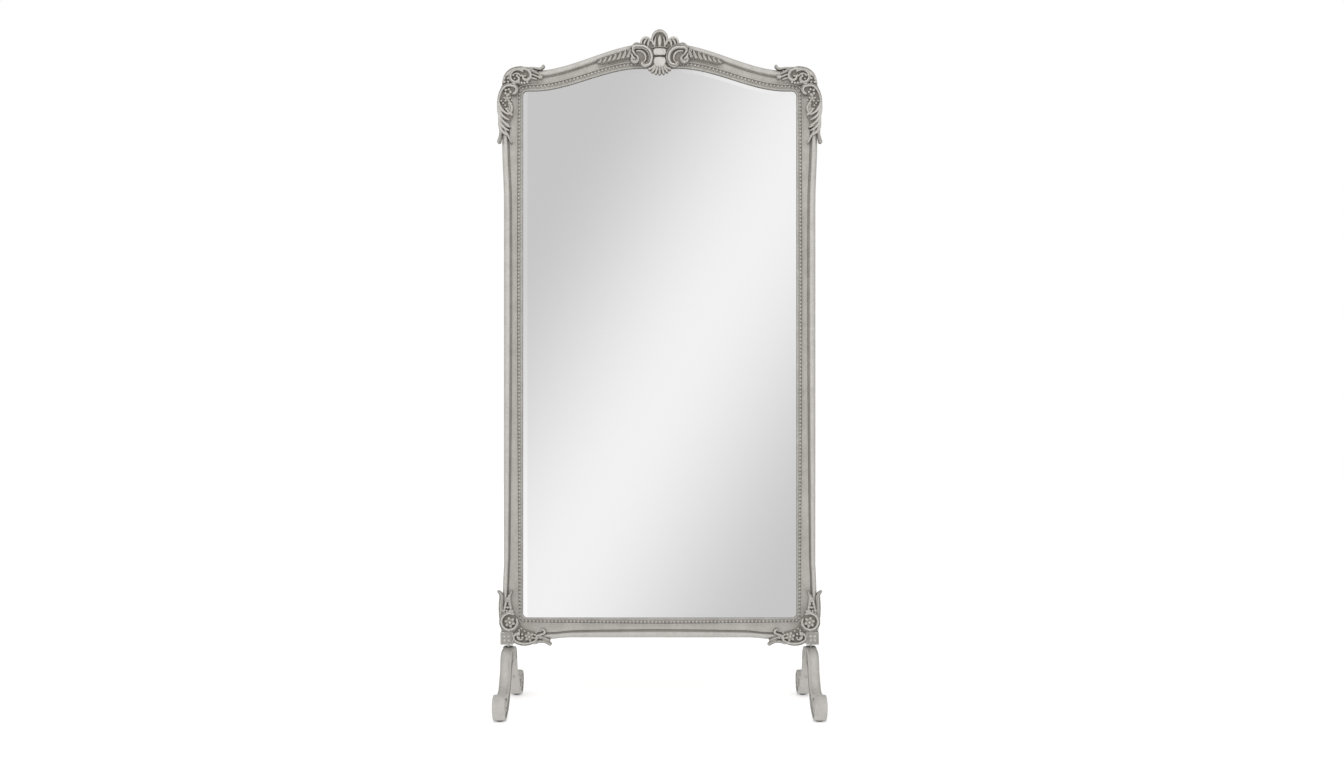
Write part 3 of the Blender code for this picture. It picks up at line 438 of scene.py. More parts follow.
def railStations():
    m = moulding
    foot, head = cornerStations(False, -45, 0), cornerStations(True, 0, 45)
    right = foot + between(foot[-1], head[0]) + head
    upper = cornerStations(True, 45, 90)
    reach = m["sightHalf"] - m["sightRadius"]
    arch = []
    for step in range(1, m["archSteps"]):
        x = reach * (1 - 2 * step / m["archSteps"])
        arch.append((
            Vector((x, 0, archHeight(x, m["sightHigh"], m["sightRise"], m["sightCrownRun"]))),
            Vector((x, 0, archHeight(x, m["outerHigh"], m["outerRise"], m["outerCrownRun"])))))
    lower = cornerStations(False, -90, -45)
    far = acrossMirror(lower)
    return {
        "right": right, "left": acrossMirror(right),
        "top": upper + arch + acrossMirror(upper),
        "bottom": far + between(far[-1], lower[0]) + lower,
    }


def placeAcross(station, offset, share, y):
    # a point of the section, its members keeping their widths where the moulding widens
    sight, outer = station
    across = outer - sight
    spare = across.length - moulding["width"]
    point = sight + across.normalized() * (offset * mm + share * spare)
    return Vector((point.x, y * mm, point.z))


beading = {
    "offset": 10.2, "radius": 3.5, "depth": -2.9, "pitch": 0.0096,      # mm, pitch in metres
    "pearlOffset": 5.7, "pearlRadius": 1.6, "pearlDepth": -3.1,
}


def makeMouldings():
    section = lipAndBeadChannel + coveAndQuirk + torusAndEdge + backOfMoulding
    nodes = {"right": "right_stile", "left": "left_stile", "top": "top_rail",
             "bottom": "bottom_rail"}
    for side, stations in railStations().items():
        rows = [[placeAcross(station, *point) for point in section] for station in stations]
        finishPiece(sweepRows(rows), nodes[side] + "_moulding", "frame", "painted_wood",
                    [nodes[side]], sharp=50)
        finishPiece(beadRow(stations), "beads_" + side, "frame", "painted_wood",
                    ["bead_slip_" + side], sharp=60)


def beadRow(stations):
    # large beads with a pearl between each pair, on the side towards the glass
    b = beading
    bm = bmesh.new()
    for offset, radius, depth, shift, steps in (
            (b["offset"], b["radius"], b["depth"], 0.5, (12, 8)),
            (b["pearlOffset"], b["pearlRadius"], b["pearlDepth"], 0.0, (8, 6))):
        line = [placeAcross(station, offset, 0, depth) for station in stations]
        length = sum((end - start).length for start, end in zip(line, line[1:]))
        count = round(length / b["pitch"])
        places = evenly(line, 2 * count + 1)
        for place in places[1::2] if shift else places[2:-1:2]:
            bmesh.ops.create_uvsphere(bm, u_segments=steps[0], v_segments=steps[1],
                                      radius=radius * mm, matrix=Matrix.Translation(place))
    return bm


# ---- carved ornament

# sections of a carved strand: (across, rise); rise -1 is its bed, 0 its edge and 1 its crest
sections = {
    "round": [(-1, -1), (-1, 0), (-0.92, 0.38), (-0.7, 0.72), (-0.36, 0.94), (0, 1),
              (0.36, 0.94), (0.7, 0.72), (0.92, 0.38), (1, 0), (1, -1)],
    "scroll": [(-1, -1), (-1, 0.3), (-0.95, 0.7), (-0.8, 0.85), (-0.66, 0.7), (-0.52, 0.42),
               (-0.36, 0.46), (-0.2, 0.78), (0.05, 0.98), (0.35, 1.0), (0.65, 0.84),
               (0.88, 0.5), (1, 0.1), (1, -1)],
    "leaf": [(-1, -1), (-1, 0), (-0.84, 0.5), (-0.62, 0.62), (-0.42, 0.3), (-0.16, 0.84),
             (0.08, 1.0), (0.26, 0.55), (0.44, 0.34), (0.66, 0.8), (0.86, 0.55), (1, 0),
             (1, -1)],
}
roundedEnd = ((1.0, 0.10), (0.86, 0.52), (0.5, 0.87))       # (distance, size) in half widths


class Ornament:
    # collects carved shapes; places are in mm from a corner of the frame, x outwards
    def __init__(self, corner):
        self.corner = Vector(corner)
        self.bm = bmesh.new()

    def at(self, x, z, y):
        return Vector((self.corner.x + x * mm, y, self.corner.z + z * mm))

    def strand(self, points, wide, section, height, lift=0.0):
        # wide: its half widths at the start, in the middle and at the end
        places, path = smoothPath(points), []
        for number, (x, z) in enumerate(places):
            turn = math.pi * number / (len(places) - 1)
            opening = math.sin(min(turn, math.pi / 2))
            closing = 1 - math.cos(max(turn - math.pi / 2, 0.0))
            path.append((x, z, wide[0] + (wide[1] - wide[0]) * opening
                         + (wide[2] - wide[1]) * closing))
        widest = max(point[2] for point in path)
        stations = []
        for number, (x, z, half) in enumerate(path):
            ahead, behind = path[min(number + 1, len(path) - 1)], path[max(number - 1, 0)]
            along = Vector((ahead[0] - behind[0], ahead[1] - behind[1])).normalized()
            stations.append((Vector((x, z)), along, half, (half / widest) ** 0.5))
        for end, sign in ((0, -1), (-1, 1)):
            place, along, half, size = stations[end]
            extra = [(place + along * sign * half * distance, along, half * narrow,
                      size * narrow) for distance, narrow in roundedEnd]
            stations = extra + stations if sign < 0 else stations + extra[::-1]
        rows = []
        for place, along, half, size in stations:
            row = []
            for across, rise in sections[section]:
                y = planting["bed"] if rise < 0 else (
                    planting["ground"] - (rise * height * size + lift) * mm)
                row.append(self.at(place.x + along.y * across * half,
                                   place.y - along.x * across * half, y))
            rows.append(row)
        pour(sweepRows(rows), self.bm)

    def berries(self, places, lift=1.5):
        for x, z, radius in places:
            ball = bmesh.new()
            y = planting["ground"] - (lift + radius * 0.3) * mm
            bmesh.ops.create_uvsphere(ball, u_segments=14, v_segments=10, radius=radius * mm,
                                      matrix=Matrix.Translation(self.at(x, z, y)))
            pour(ball, self.bm)

    def flower(self, x, z, radius, petals=5, lift=0.5, turn=0.3):
        heart = radius * 0.27
        self.berries([(x, z, heart)], lift + 2.2)
        for number in range(petals):
            angle = turn + 2 * math.pi * number / petals
            reach = radius * 0.58
            petal = bmesh.new()
            bmesh.ops.create_uvsphere(petal, u_segments=14, v_segments=10, radius=mm)
            bmesh.ops.scale(petal, vec=(radius * 0.44, 3.4, radius * 0.31), verts=petal.verts)
            tilt = Matrix.Rotation(-0.35, 4, "Z")
            spin = Matrix.Rotation(-angle, 4, "Y")
            y = planting["ground"] - (lift + 0.6) * mm
            place = self.at(x + reach * math.cos(angle), z + reach * math.sin(angle), y)
            bmesh.ops.transform(petal, matrix=Matrix.Translation(place) @ spin @ tilt,
                                verts=petal.verts)
            pour(petal, self.bm)
        self.pad(x, z, radius * 0.9, -1.0)

    def groundPlate(self, outline, lift=0.0):
        # the flat ground under a whole ornament
        closed = outline[-1:] + outline + outline[:2]
        rim = smoothPath(closed)[5:-6]
        plate = bmesh.new()
        verts = [plate.verts.new(self.at(x, z, planting["bed"])) for x, z in rim]
        grown = bmesh.ops.extrude_face_region(plate, geom=[plate.faces.new(verts)])["geom"]
        bmesh.ops.translate(plate, vec=(0, planting["ground"] - lift * mm - planting["bed"], 0),
                            verts=[item for item in grown
                                   if isinstance(item, bmesh.types.BMVert)])
        bmesh.ops.triangulate(plate, faces=plate.faces)
        bmesh.ops.recalc_face_normals(plate, faces=plate.faces)
        pour(plate, self.bm)

    def pad(self, x, z, radius, lift):
        # a low round ground that ties loose berries and petals together
        disc = bmesh.new()
        front = planting["ground"] - lift * mm
        depth = planting["bed"] - front
        turned = Matrix.Rotation(math.pi / 2, 4, "X")
        bmesh.ops.create_cone(disc, cap_ends=True, segments=24, radius1=radius * mm,
                              radius2=radius * mm, depth=depth,
                              matrix=Matrix.Translation(self.at(x, z, front + depth / 2)) @ turned)
        pour(disc, self.bm)

    def skin(self):
        return carvedSkin(self.bm)


def bow(x, z, first, last, turn, flat=1.0):
    # a curl about (x, z), its radius going from first to last through the turn in degrees
    count = max(round(abs(turn[1] - turn[0]) / 25), 2)
    points = []
    for step in range(count + 1):
        share = step / count
        radius = first + (last - first) * share
        angle = math.radians(turn[0] + (turn[1] - turn[0]) * share)
        points.append((x + radius * math.cos(angle), z + radius * flat * math.sin(angle)))
    return points


def bent(start, end, bend=0.0, count=5):
    # count points from start to end, bowing to the left of their way by bend
    start, end = Vector(start), Vector(end)
    left = Vector((start.y - end.y, end.x - start.x)).normalized() * bend
    points = []
    for step in range(count):
        share = step / (count - 1)
        place = start.lerp(end, share) + left * 4 * share * (1 - share)
        points.append((place.x, place.y))
    return points


def ring(x, z, spread, count):
    angles = [0.7 + 2 * math.pi * number / count for number in range(count)]
    return [(x + spread * math.cos(angle), z + spread * math.sin(angle)) for angle in angles]


def leafFan(first, last, pitch, count, bend):
    # leaves that peel off a stem one below the other
    return [(bent((first[0], first[1] - pitch * number), (last[0], last[1] - pitch * number), bend),
             (2.6, 4.2, 2.4), "round", 6.4 - 0.35 * number, 0.6) for number in range(count)]


def carve(corner, pattern):
    # an ornament from its ground, strands, berries and flowers
    o = Ornament(corner)
    o.groundPlate(pattern["ground"])
    for strand in pattern["strands"]:
        o.strand(*strand)
    for places, radius in pattern["berries"]:
        o.berries([(x, z, radius) for x, z in places])
    for x, z, radius in pattern["flowers"]:
        o.flower(x, z, radius, pattern["petals"])
    return o.skin()


# a strand is its path, half widths, section, height and lift, all in mm
topCorner = {
    "drop": 0.0028, "petals": 5,
    "strands": [
        # the long scroll down the outer edge, from its curled head
        (bow(-24, -50, 10.5, 10.5, (260, 105)) + bow(-14, -90, 27, 27, (90, 0), 1.9)
         + [(13, -106), (9, -126)], (2.8, 4.5, 1.8), "scroll", 8.6),
        # the leaf that sweeps over the corner, and its raised tip
        (bow(-41, -37, 42, 42, (5, 90)) + bow(-41, -86, 91, 91, (100, 124)), (2.9, 5.7, 2.6),
         "leaf", 6.6),
        ([(-48, 6), (-75, 6)] + bow(-92, 16, 12, 12, (270, 205)), (2.1, 3.3, 4.0), "leaf", 6.2),
        # the two curls beside it, with two sprigs
        (bow(-34, -20, 23, 4, (136, -220)), (2.3, 4.1, 2.3), "scroll", 7.6, 0.6),
        (bow(-56, -16, 20, 4, (60, 370)), (2.1, 3.9, 2.1), "scroll", 8.0, 0.8),
        (bent((-69, -9), (-93, -19)), (2.1, 3.0, 2.2), "round", 5.0),
        (bent((-69, -19), (-86, -23)), (2.1, 2.6, 2.1), "round", 5.0),
        # the stem below, its fan of leaves and its two tails
        (bent((9, -101), (-6, -160)), (3.8, 5.6, 3.0), "round", 2.4),
        *leafFan((11, -82), (-14, -114), 13.5, 5, 6),
        (bent((-3, -151), (-21, -186)), (1.9, 2.7, 2.2), "leaf", 5.6),
        (bent((11, -133), (11, -182), -4), (2.4, 3.6, 5.5), "leaf", 5.6),
        # small leaves on the ground
        (bent((-17, -84), (-20, -109), -4), (1.9, 3.5, 2.2), "round", 5.6, 0.3),
        (bent((-4, -97), (-22, -116)), (1.9, 3.3, 2.2), "round", 5.6, 0.3),
        (bent((-6, -141), (-18, -146), 1), (1.9, 3.0, 2.0), "round", 5.6, 0.3),
        (bent((-27, -10), (-45, -16), -4), (2.2, 3.0, 2.2), "round", 5.6, 0.3),
        (bent((-24, 1), (-10, -14)), (2.2, 3.5, 2.7), "round", 5.6, 0.3)],
    "berries": [(ring(-8, -26, 6.5, 4), 3.6), (bent((-40, -31), (-62, -31), 2, 4), 3.4),
                (ring(-30, -17, 5.5, 3), 3.2), (ring(-52, -17, 5, 3), 3.2),
                (bent((-5, -91), (5, -79), 0, 3), 3.2), (ring(-12, -56, 7, 5), 3.7),
                (bent((-22, -113), (-22, -78), 0, 2), 2.9)],
    "flowers": [(-10, -73, 11), (-16, -100, 9.5), (-17, -86, 7), (-96, -17, 7)],
    "ground": [(-88, -2), (-70, 1), (-46, 5), (-28, 4), (-12, -4), (-1, -17), (2, -34), (8, -48),
               (12, -66), (13, -92), (10, -118), (7, -140), (4, -158), (-4, -158), (-12, -148),
               (-18, -130), (-22, -112), (-23, -84), (-20, -64), (-32, -59), (-35, -48),
               (-30, -38), (-50, -35), (-66, -26), (-78, -20), (-92, -18), (-95, -12)],
}


bottomCorner = {
    "petals": 6,
    "strands": [
        # the ring round the large flower
        (bow(-16, 42, 23, 20, (118, -203)), (3.0, 5.0, 2.4), "scroll", 9.0),
        # the three leaves that rise from it
        (bent((3, 20), (5, 104), -2.5) + bow(21, 106, 16, 16, (172, 120)), (2.8, 6.2, 3.5),
         "leaf", 6.0),
        ([(-22, 61), (-17, 92), (-16, 106), (-22, 121)], (2.5, 4.2, 2.0), "leaf", 5.6),
        (bent((-2, 66), (-10, 104), -1), (2.8, 3.6, 2.8), "round", 4.4),
        # the open scroll along the rail, its leaves and the curl at its end
        (bow(-56, 1, 30, 30, (62, -195), 0.52), (2.8, 4.7, 2.2), "scroll", 8.6),
        (bent((-80, -14), (-120, -15), -7), (2.5, 4.8, 4.8), "leaf", 5.6),
        (bent((-78, 10), (-119, -5)), (2.0, 3.7, 2.5), "leaf", 5.6),
        ([(-88, 7), (-95, 9)] + bow(-101, 16.5, 5.5, 5.5, (255, 60)), (2.8, 3.6, 2.2),
         "round", 6.0),
        (bow(-44, 4, 8, 8, (40, -120)), (2.6, 3.4, 2.9), "round", 5.5)],
    "berries": [(bent((-24, 70), (-2, 71), 0, 4), 3.3), (bent((-19, 79), (-5, 80), 0, 3), 3.6),
                (bent((-16, 88), (-7, 88), 0, 2), 3.6), (bent((-12, 95), (-14, 109), 0, 3), 2.9),
                (bent((-47, 25), (-41, 21), 0, 2), 3.0), (ring(-45, 6, 6, 4), 3.6),
                (bent((-82, 1), (-95, 1), 0, 3), 2.8), (bent((-81, 9), (-85, 15), 0, 2), 3.1),
                ([(-55, 19)], 2.8)],
    "flowers": [(-17, 41, 15), (-67, 4, 13.5)],
    "ground": [(12, 118), (10, 100), (11, 84), (11, 60), (8, 40), (2, 24), (-14, 16), (-24, 9),
               (-24, 0), (-31, -9), (-46, -15), (-64, -16), (-80, -13), (-92, -9), (-104, -8),
               (-116, -12), (-118, -6), (-104, 2), (-96, 8), (-84, 14), (-72, 18), (-56, 22),
               (-46, 29), (-40, 38), (-33, 50), (-26, 62), (-24, 76), (-20, 92), (-18, 110),
               (-13, 100), (-6, 95), (1, 98), (5, 114)],
}


def flipped(points):
    return [(-x, z) for x, z in points]


def symmetrical(half):
    return half + [(-x, z) for x, z in reversed(half) if x]


def fringe(count=7, pitch=18):
    # leaf tips round the foot of the cartouche
    tips = []
    for number in range(count):
        angle = math.radians(270 + pitch * (number - (count - 1) / 2))
        x, z = 32 * math.cos(angle), -50 + 27 * math.sin(angle)
        path = [(x * 0.42, -50), (x * 0.74, (z - 50) / 2 - 2), (x, z + 3.2)]
        tips.append((path, (2.0, 3.4, 3.7), "round", 5.8, 1.0))
    return tips


# in mm from the middle of the rail's top; the sides give the left half
crest = {
    "drop": 0.0074,
    "shell": {
        "middle": [
            (bow(0, 12, 19.3, 19.3, (212, -32), 1.16), (2.4, 3.8, 2.4), "scroll", 7.4, 0.8),
            (bent((0, -2), (0, 22)), (4.1, 5.6, 2.1), "round", 6.0, 1.6),
            (bent((-21, -8), (21, -8), 1.4), (1.4, 1.9, 1.4), "round", 4.0)],
        "sides": [
            (bow(-35, 4, 12.3, 12.3, (195, 20), 1.1), (2.7, 3.8, 2.4), "round", 6.4, 0.6),
            (bent((-40, -2), (-34, 12), 2), (2.6, 3.5, 3.0), "round", 5.4, 0.6),
            (bent((-31, -5), (-28, 10)), (2.6, 3.5, 2.7), "round", 5.4, 0.6),
            (bent((-13, -6), (-10, 19), 1), (2.5, 3.1, 1.8), "round", 5.4, 0.6)],
        "bosses": [],
        "ground": symmetrical([(-44, -8), (-46, 2), (-43, 11), (-36, 15), (-28, 15), (-23, 9),
                               (-19, 12), (-17, 23), (-11, 30), (0, 32)]),
    },
    "cartouche": {
        "middle": fringe(),
        "sides": [
            # the band: its foot, its long back and its curled head
            (bow(-38, -47, 7, 7, (180, 305)) + bow(-50, -34, 28, 28, (-35, 100))
             + bow(-60, -15, 9, 9, (110, 240)), (3.4, 5.7, 2.1), "scroll", 9.0, 1.6),
            (bow(-54, -34, 18, 18, (110, -43)), (2.2, 3.2, 2.2), "round", 5.4, 0.6),
            ([(-66, -24)] + bow(-64, -36, 8.5, 8.5, (35, -200)), (2.3, 4.3, 2.2), "leaf", 6.6, 1.0),
            (bent((-72, -24), (-64, -37), -2), (2.3, 3.6, 3.1), "round", 5.6, 0.8),
            (bent((-50, 1), (-70, -5), -4.5), (2.1, 3.7, 2.8), "leaf", 5.2, 0.2),
            (bent((-66, -4), (-82, -17), -4), (2.1, 3.5, 2.5), "leaf", 5.2, 0.2)],
        # place, half width, half height, height and whether pointed
        "bosses": [(0, -19.8, 17.4, 9.4, 8.2, False), (0, -45.6, 16.4, 13.2, 8.6, True)],
        "ground": symmetrical([(0, -4), (-48, -6), (-64, -9), (-70, -20), (-75, -32), (-68, -43),
                               (-56, -44), (-46, -56), (-30, -57), (-20, -66), (0, -72)]),
    },
}


def carveCrest(pattern):
    o = Ornament((0, 0, moulding["outerHigh"] + moulding["outerRise"] - crest["drop"]))
    o.groundPlate(pattern["ground"])
    for strand in pattern["middle"]:
        o.strand(*strand)
    for points, *shape in pattern["sides"]:
        o.strand(points, *shape)
        o.strand(flipped(points), *shape)
    for boss in pattern["bosses"]:
        addCabochon(o, *boss)
    return o.skin()


def addCabochon(ornament, x, z, halfWidth, halfHeight, height, pointed):
    # a rounded boss; a pointed one is a shield with its lower end drawn in
    boss = bmesh.new()
    bmesh.ops.create_cube(boss, size=2.0)
    bmesh.ops.subdivide_edges(boss, edges=boss.edges, cuts=7, use_grid_fill=True)
    for vert in boss.verts:
        square = Vector((vert.co.x, vert.co.y, vert.co.z))
        ball = square.normalized() * 1.12
        vert.co = square.lerp(ball, 0.62)
        if pointed and vert.co.z < 0:
            vert.co.x *= 1 + vert.co.z * 0.28
    bmesh.ops.scale(boss, vec=(halfWidth * mm, height * mm, halfHeight * mm), verts=boss.verts)
    bmesh.ops.translate(boss, vec=ornament.at(x, z, planting["ground"] - 0.001),
                        verts=boss.verts)
    pour(boss, ornament.bm)


spray = {
    # husks along the arch, in mm from the middle of the rail's top
    "husks": 7, "first": (-80.5, -25.0), "pitch": (-12.3, -3.4), "slant": (66, 46),
    "drop": 0.0042, "length": 23.0, "width": 4.9, "bend": 3.0,
    "ground": [(-70, -14), (-84, -16), (-100, -21), (-130, -31), (-156, -41), (-161, -48),
               (-148, -52), (-130, -48), (-104, -42), (-84, -38), (-70, -36)],
}


def carveSpray():
    s = spray
    o = Ornament((0, 0, moulding["outerHigh"] + moulding["outerRise"] - s["drop"]))
    o.groundPlate(s["ground"])
    for number in range(s["husks"]):
        size = 1.0 - 0.06 * number
        angle = math.radians(
            s["slant"][0] + (s["slant"][1] - s["slant"][0]) * number / (s["husks"] - 1))
        ahead = Vector((math.cos(angle), math.sin(angle))) * s["length"] * size
        place = Vector(s["first"]) + Vector(s["pitch"]) * number
        o.strand(bent(place - ahead / 2, place + ahead / 2, -s["bend"] * size),
                 [s["width"] * size * share for share in (0.35, 1.0, 0.4)],
                 "leaf", 5.4 * size + 1.0, 0.4)
        low = place - ahead * 0.52 + Vector((6.0, 1.5)) * size
        high = place + ahead * 0.5 - Vector((6.5, 0.0)) * size
        o.berries([(low.x, low.y, 2.7 * size), (high.x, high.y, 2.9 * size)], 1.2)
    return o.skin()


def makeCarvings():
    high = moulding["outerHigh"] - topCorner["drop"]
    for name, height, pattern in (("top_corner_carving", high, topCorner),
                                  ("bottom_corner_carving", moulding["outerLow"], bottomCorner)):
        skin = carve((moulding["outerHalf"], 0, height), pattern)
        left = mirroredCopy(skin)
        finishPiece(skin, name + "_right_carved", "frame", "painted_resin", [name + "_right"])
        finishPiece(left, name + "_left_carved", "frame", "painted_resin", [name + "_left"])
    finishPiece(carveCrest(crest["shell"]), "crest_shell_carved", "frame", "painted_resin",
                ["crest_shell"])
    piece = finishPiece(carveCrest(crest["cartouche"]), "crest_cartouche_carved", "frame",
                        "painted_resin", ["crest_cartouche"])
    piece.visible_glossy = False        # so that the glass stays clear of the crest's back
    left = carveSpray()
    right = mirroredCopy(left)
    finishPiece(left, "crest_spray_left_carved", "frame", "painted_resin",
                ["crest_spray_left"])
    finishPiece(right, "crest_spray_right_carved", "frame", "painted_resin",
                ["crest_spray_right"])


# ---- stands

leg = {
    "thickness": 0.031, "panel": 0.0240,        # over the rims, over the sunk side panels
    "rim": 0.0034,                              # half the depth of the rim bands
    "saddleHalf": 0.030, "shoulder": 0.153, "underEnd": 0.116,
    "voluteReach": 0.170, "voluteHeight": 0.0403,
    "radiusTop": 0.0237, "radiusFront": 0.037, "eye": 0.0075,
    "sole": 0.0033, "stemWidth": 0.88,
    # stem's front and underside, as shares of the run to the scroll and of the shoulder height
    "front": [(0.0, 1.0), (0.114, 0.980), (0.207, 0.931), (0.257, 0.863), (0.296, 0.732),
              (0.343, 0.588), (0.421, 0.471), (0.543, 0.402), (0.700, 0.376)],
    "under": [(0.700, 0.088), (0.571, 0.162), (0.450, 0.275), (0.336, 0.399), (0.229, 0.529),
              (0.143, 0.647), (0.071, 0.719)],
}
legX = 0.390


def stemPoints(shares):
    run = leg["voluteReach"] - leg["saddleHalf"]
    return [(leg["saddleHalf"] + along * run, up * leg["shoulder"]) for along, up in shares]


def volutePoints(start, end, steps, depth=0.0):
    # the scroll's rim by angle in degrees, its radius growing from the top to the sole
    points = []
    for step in range(steps + 1):
        angle = start + (end - start) * step / steps
        turn = (95 - angle) / 175
        radius = leg["radiusTop"] + (leg["radiusFront"] - leg["radiusTop"]) * min(
            max(turn, 0.0) * 2, 1.0)
        radius += (leg["voluteHeight"] - leg["radiusFront"]) * max(turn - 0.5, 0.0) * 2
        radius -= depth
        points.append((leg["voluteReach"] + radius * math.cos(math.radians(angle)),
                       leg["voluteHeight"] + radius * math.sin(math.radians(angle))))
    return points


def spiralPoints(steps=22):
    # from the scroll's top round its back and inwards to its eye
    points = []
    for step in range(steps + 1):
        share = step / steps
        angle = math.radians(90 + 390 * share)
        inward = max(share - 0.16, 0.0) / 0.84
        radius = (leg["radiusTop"] - leg["rim"] * 1.2) * (1 - inward) + leg["eye"] * inward
        points.append((leg["voluteReach"] + radius * math.cos(angle),
                       leg["voluteHeight"] + radius * math.sin(angle)))
    return points


def inset(points, distance):
    # move a path sideways, to the right of its direction
    moved = []
    for number, (y, z) in enumerate(points):
        ahead, behind = points[min(number + 1, len(points) - 1)], points[max(number - 1, 0)]
        along = Vector((ahead[0] - behind[0], ahead[1] - behind[1])).normalized()
        moved.append((y + along.y * distance, z - along.x * distance))
    return moved


# half sections of the bands across a leg: (across, rise), edge first
bandSections = {
    "reeded": [(-1, -1), (-1, 0.5), (-0.96, 0.82), (-0.88, 0.98), (-0.81, 0.84), (-0.78, 0.2),
               (-0.70, 0.0), (-0.62, 0.2), (-0.58, 0.66), (-0.46, 0.88), (-0.25, 1.02), (0, 1.08)],
    "plain": [(-1, -1), (-1, 0.35), (-0.97, 0.68), (-0.88, 0.92), (-0.7, 1.04), (-0.4, 1.12),
              (0, 1.15)],
}


def rimBand(points, depths, section="plain", width=1.0):
    # a band right across the leg, its depth going from the first of depths to the second
    half = leg["thickness"] / 2 * width
    side = bandSections[section]
    outline = side + [(-across, rise) for across, rise in reversed(side[:-1])]
    rows = []
    for number, (y, z) in enumerate(points):
        ahead, behind = points[min(number + 1, len(points) - 1)], points[max(number - 1, 0)]
        along = Vector((ahead[0] - behind[0], ahead[1] - behind[1])).normalized()
        out = Vector((-along.y, along.x))
        depth = depths[0] + (depths[1] - depths[0]) * number / (len(points) - 1)
        rows.append([Vector((across * half, y + out.x * rise * depth, z + out.y * rise * depth))
                     for across, rise in outline])
    return sweepRows(rows)


def soled(bm):
    # cut off what would reach below the sole
    made = bmesh.ops.bisect_plane(bm, geom=bm.verts[:] + bm.edges[:] + bm.faces[:],
                                  plane_co=(0, 0, leg["sole"]), plane_no=(0, 0, -1),
                                  clear_outer=True)["geom_cut"]
    rim = [item for item in made if isinstance(item, bmesh.types.BMEdge)]
    if rim:
        bmesh.ops.holes_fill(bm, edges=rim, sides=0)
    bmesh.ops.recalc_face_normals(bm, faces=bm.faces)
    return bm


def plate(outline, thickness):
    # a flat outline in the leg's plane, thick along X
    bm = bmesh.new()
    verts = [bm.verts.new((-thickness / 2, y, z)) for y, z in outline]
    face = bm.faces.new(verts)
    grown = bmesh.ops.extrude_face_region(bm, geom=[face])["geom"]
    bmesh.ops.translate(bm, vec=(thickness, 0, 0),
                        verts=[item for item in grown if isinstance(item, bmesh.types.BMVert)])
    bmesh.ops.recalc_face_normals(bm, faces=bm.faces)
    return bm


def makeLeg():
    # one leg that reaches towards +Y, about x = 0
    whole = bmesh.new()
    front = smoothPath(stemPoints(leg["front"]))
    under = smoothPath([(leg["voluteReach"], 0.0), *stemPoints(leg["under"]),
                        (leg["saddleHalf"], leg["underEnd"])])
    rim = leg["rim"]
    core = inset(front, 0.0015) + volutePoints(150, -80, 23, 0.0015) + under[3:]
    pour(soled(plate(core, leg["panel"])), whole)
    dive = [(0.1385, 0.0525), (0.149, 0.0475)]
    pour(rimBand(inset(front, rim) + dive, (rim, rim), "reeded", leg["stemWidth"]), whole)
    sweep = inset(under[:3:-1], -rim)[:-1]
    pour(soled(rimBand(sweep + volutePoints(-95, 90, 20, rim * 1.2), (-rim, -rim))), whole)
    pour(soled(rimBand(spiralPoints(), (-rim, -0.0022))), whole)
    eye = bmesh.new()
    turned = Matrix.Translation((0, leg["voluteReach"], leg["voluteHeight"])) @ Matrix.Rotation(
        math.pi / 2, 4, "Y")
    bmesh.ops.create_cone(eye, cap_ends=True, segments=32, radius1=leg["eye"],
                          radius2=leg["eye"], depth=leg["thickness"] + 0.0006, matrix=turned)
    bmesh.ops.bevel(eye, geom=[edge for edge in eye.edges if len(edge.link_faces) == 2 and any(
        len(face.verts) > 4 for face in edge.link_faces)], offset=0.0015, segments=3,
        profile=0.5, affect="EDGES", material=-1)
    pour(eye, whole)
    return whole


def placedCopy(bm, x, turned):
    copy = bm.copy()
    if turned:
        bmesh.ops.rotate(copy, matrix=Matrix.Rotation(math.pi, 3, "Z"), verts=copy.verts)
    bmesh.ops.translate(copy, vec=(x, 0, 0), verts=copy.verts)
    return copy


saddle = {
    "crown": 0.159, "dome": 0.45, "under": 0.122, "round": 0.0075,
    "slotWidth": 0.0086, "slotHalf": 0.01245, "slotFloor": 0.1285,
    "boltHeight": 0.138, "boltRadius": 0.0033, "headRadius": 0.0055, "headDepth": 0.0053,
}


def makeSaddleSkin(side):
    s = saddle
    half, end = leg["saddleHalf"] - 0.00015, leg["underEnd"]
    shoulder = leg["shoulder"]
    crown = shoulder + (s["crown"] - shoulder) * s["dome"]
    over = smoothPath([(-half, shoulder), (-half * 0.35, crown), (0, s["crown"]),
                       (half * 0.35, crown), (half, shoulder)])
    below = smoothPath([(half, end), (half * 0.5, s["under"] - 0.0015), (0, s["under"]),
                        (-half * 0.5, s["under"] - 0.0015), (-half, end)])
    block = plate(over + below, leg["thickness"])
    rounded = [edge for edge in block.edges
               if abs(edge.verts[0].co.x - edge.verts[1].co.x) < 1e-6
               and all(vert.co.z > shoulder - 0.0005 for vert in edge.verts)
               and not all(abs(abs(vert.co.y) - half) < 1e-6 for vert in edge.verts)]
    bmesh.ops.bevel(block, geom=rounded, offset=s["round"], offset_type="OFFSET",
                    segments=6, profile=0.5, affect="EDGES", material=-1, clamp_overlap=True)
    bmesh.ops.remove_doubles(block, verts=block.verts, dist=0.00001)
    bmesh.ops.recalc_face_normals(block, faces=block.faces)
    cutters = [slotCutter()]
    for radius, depth, face in ((s["boltRadius"], 0.05, 0),
                                (s["headRadius"], 2 * s["headDepth"], side),
                                (s["headRadius"], 2 * s["headDepth"], -side)):
        cutters.append(boreCutter(radius, depth, face * leg["thickness"] / 2))
    made = settled(block, [("BOOLEAN", {"operation": "DIFFERENCE", "object": cutter})
                           for cutter in cutters])
    for cutter in cutters:
        bpy.data.objects.remove(cutter, do_unlink=True)
    return made


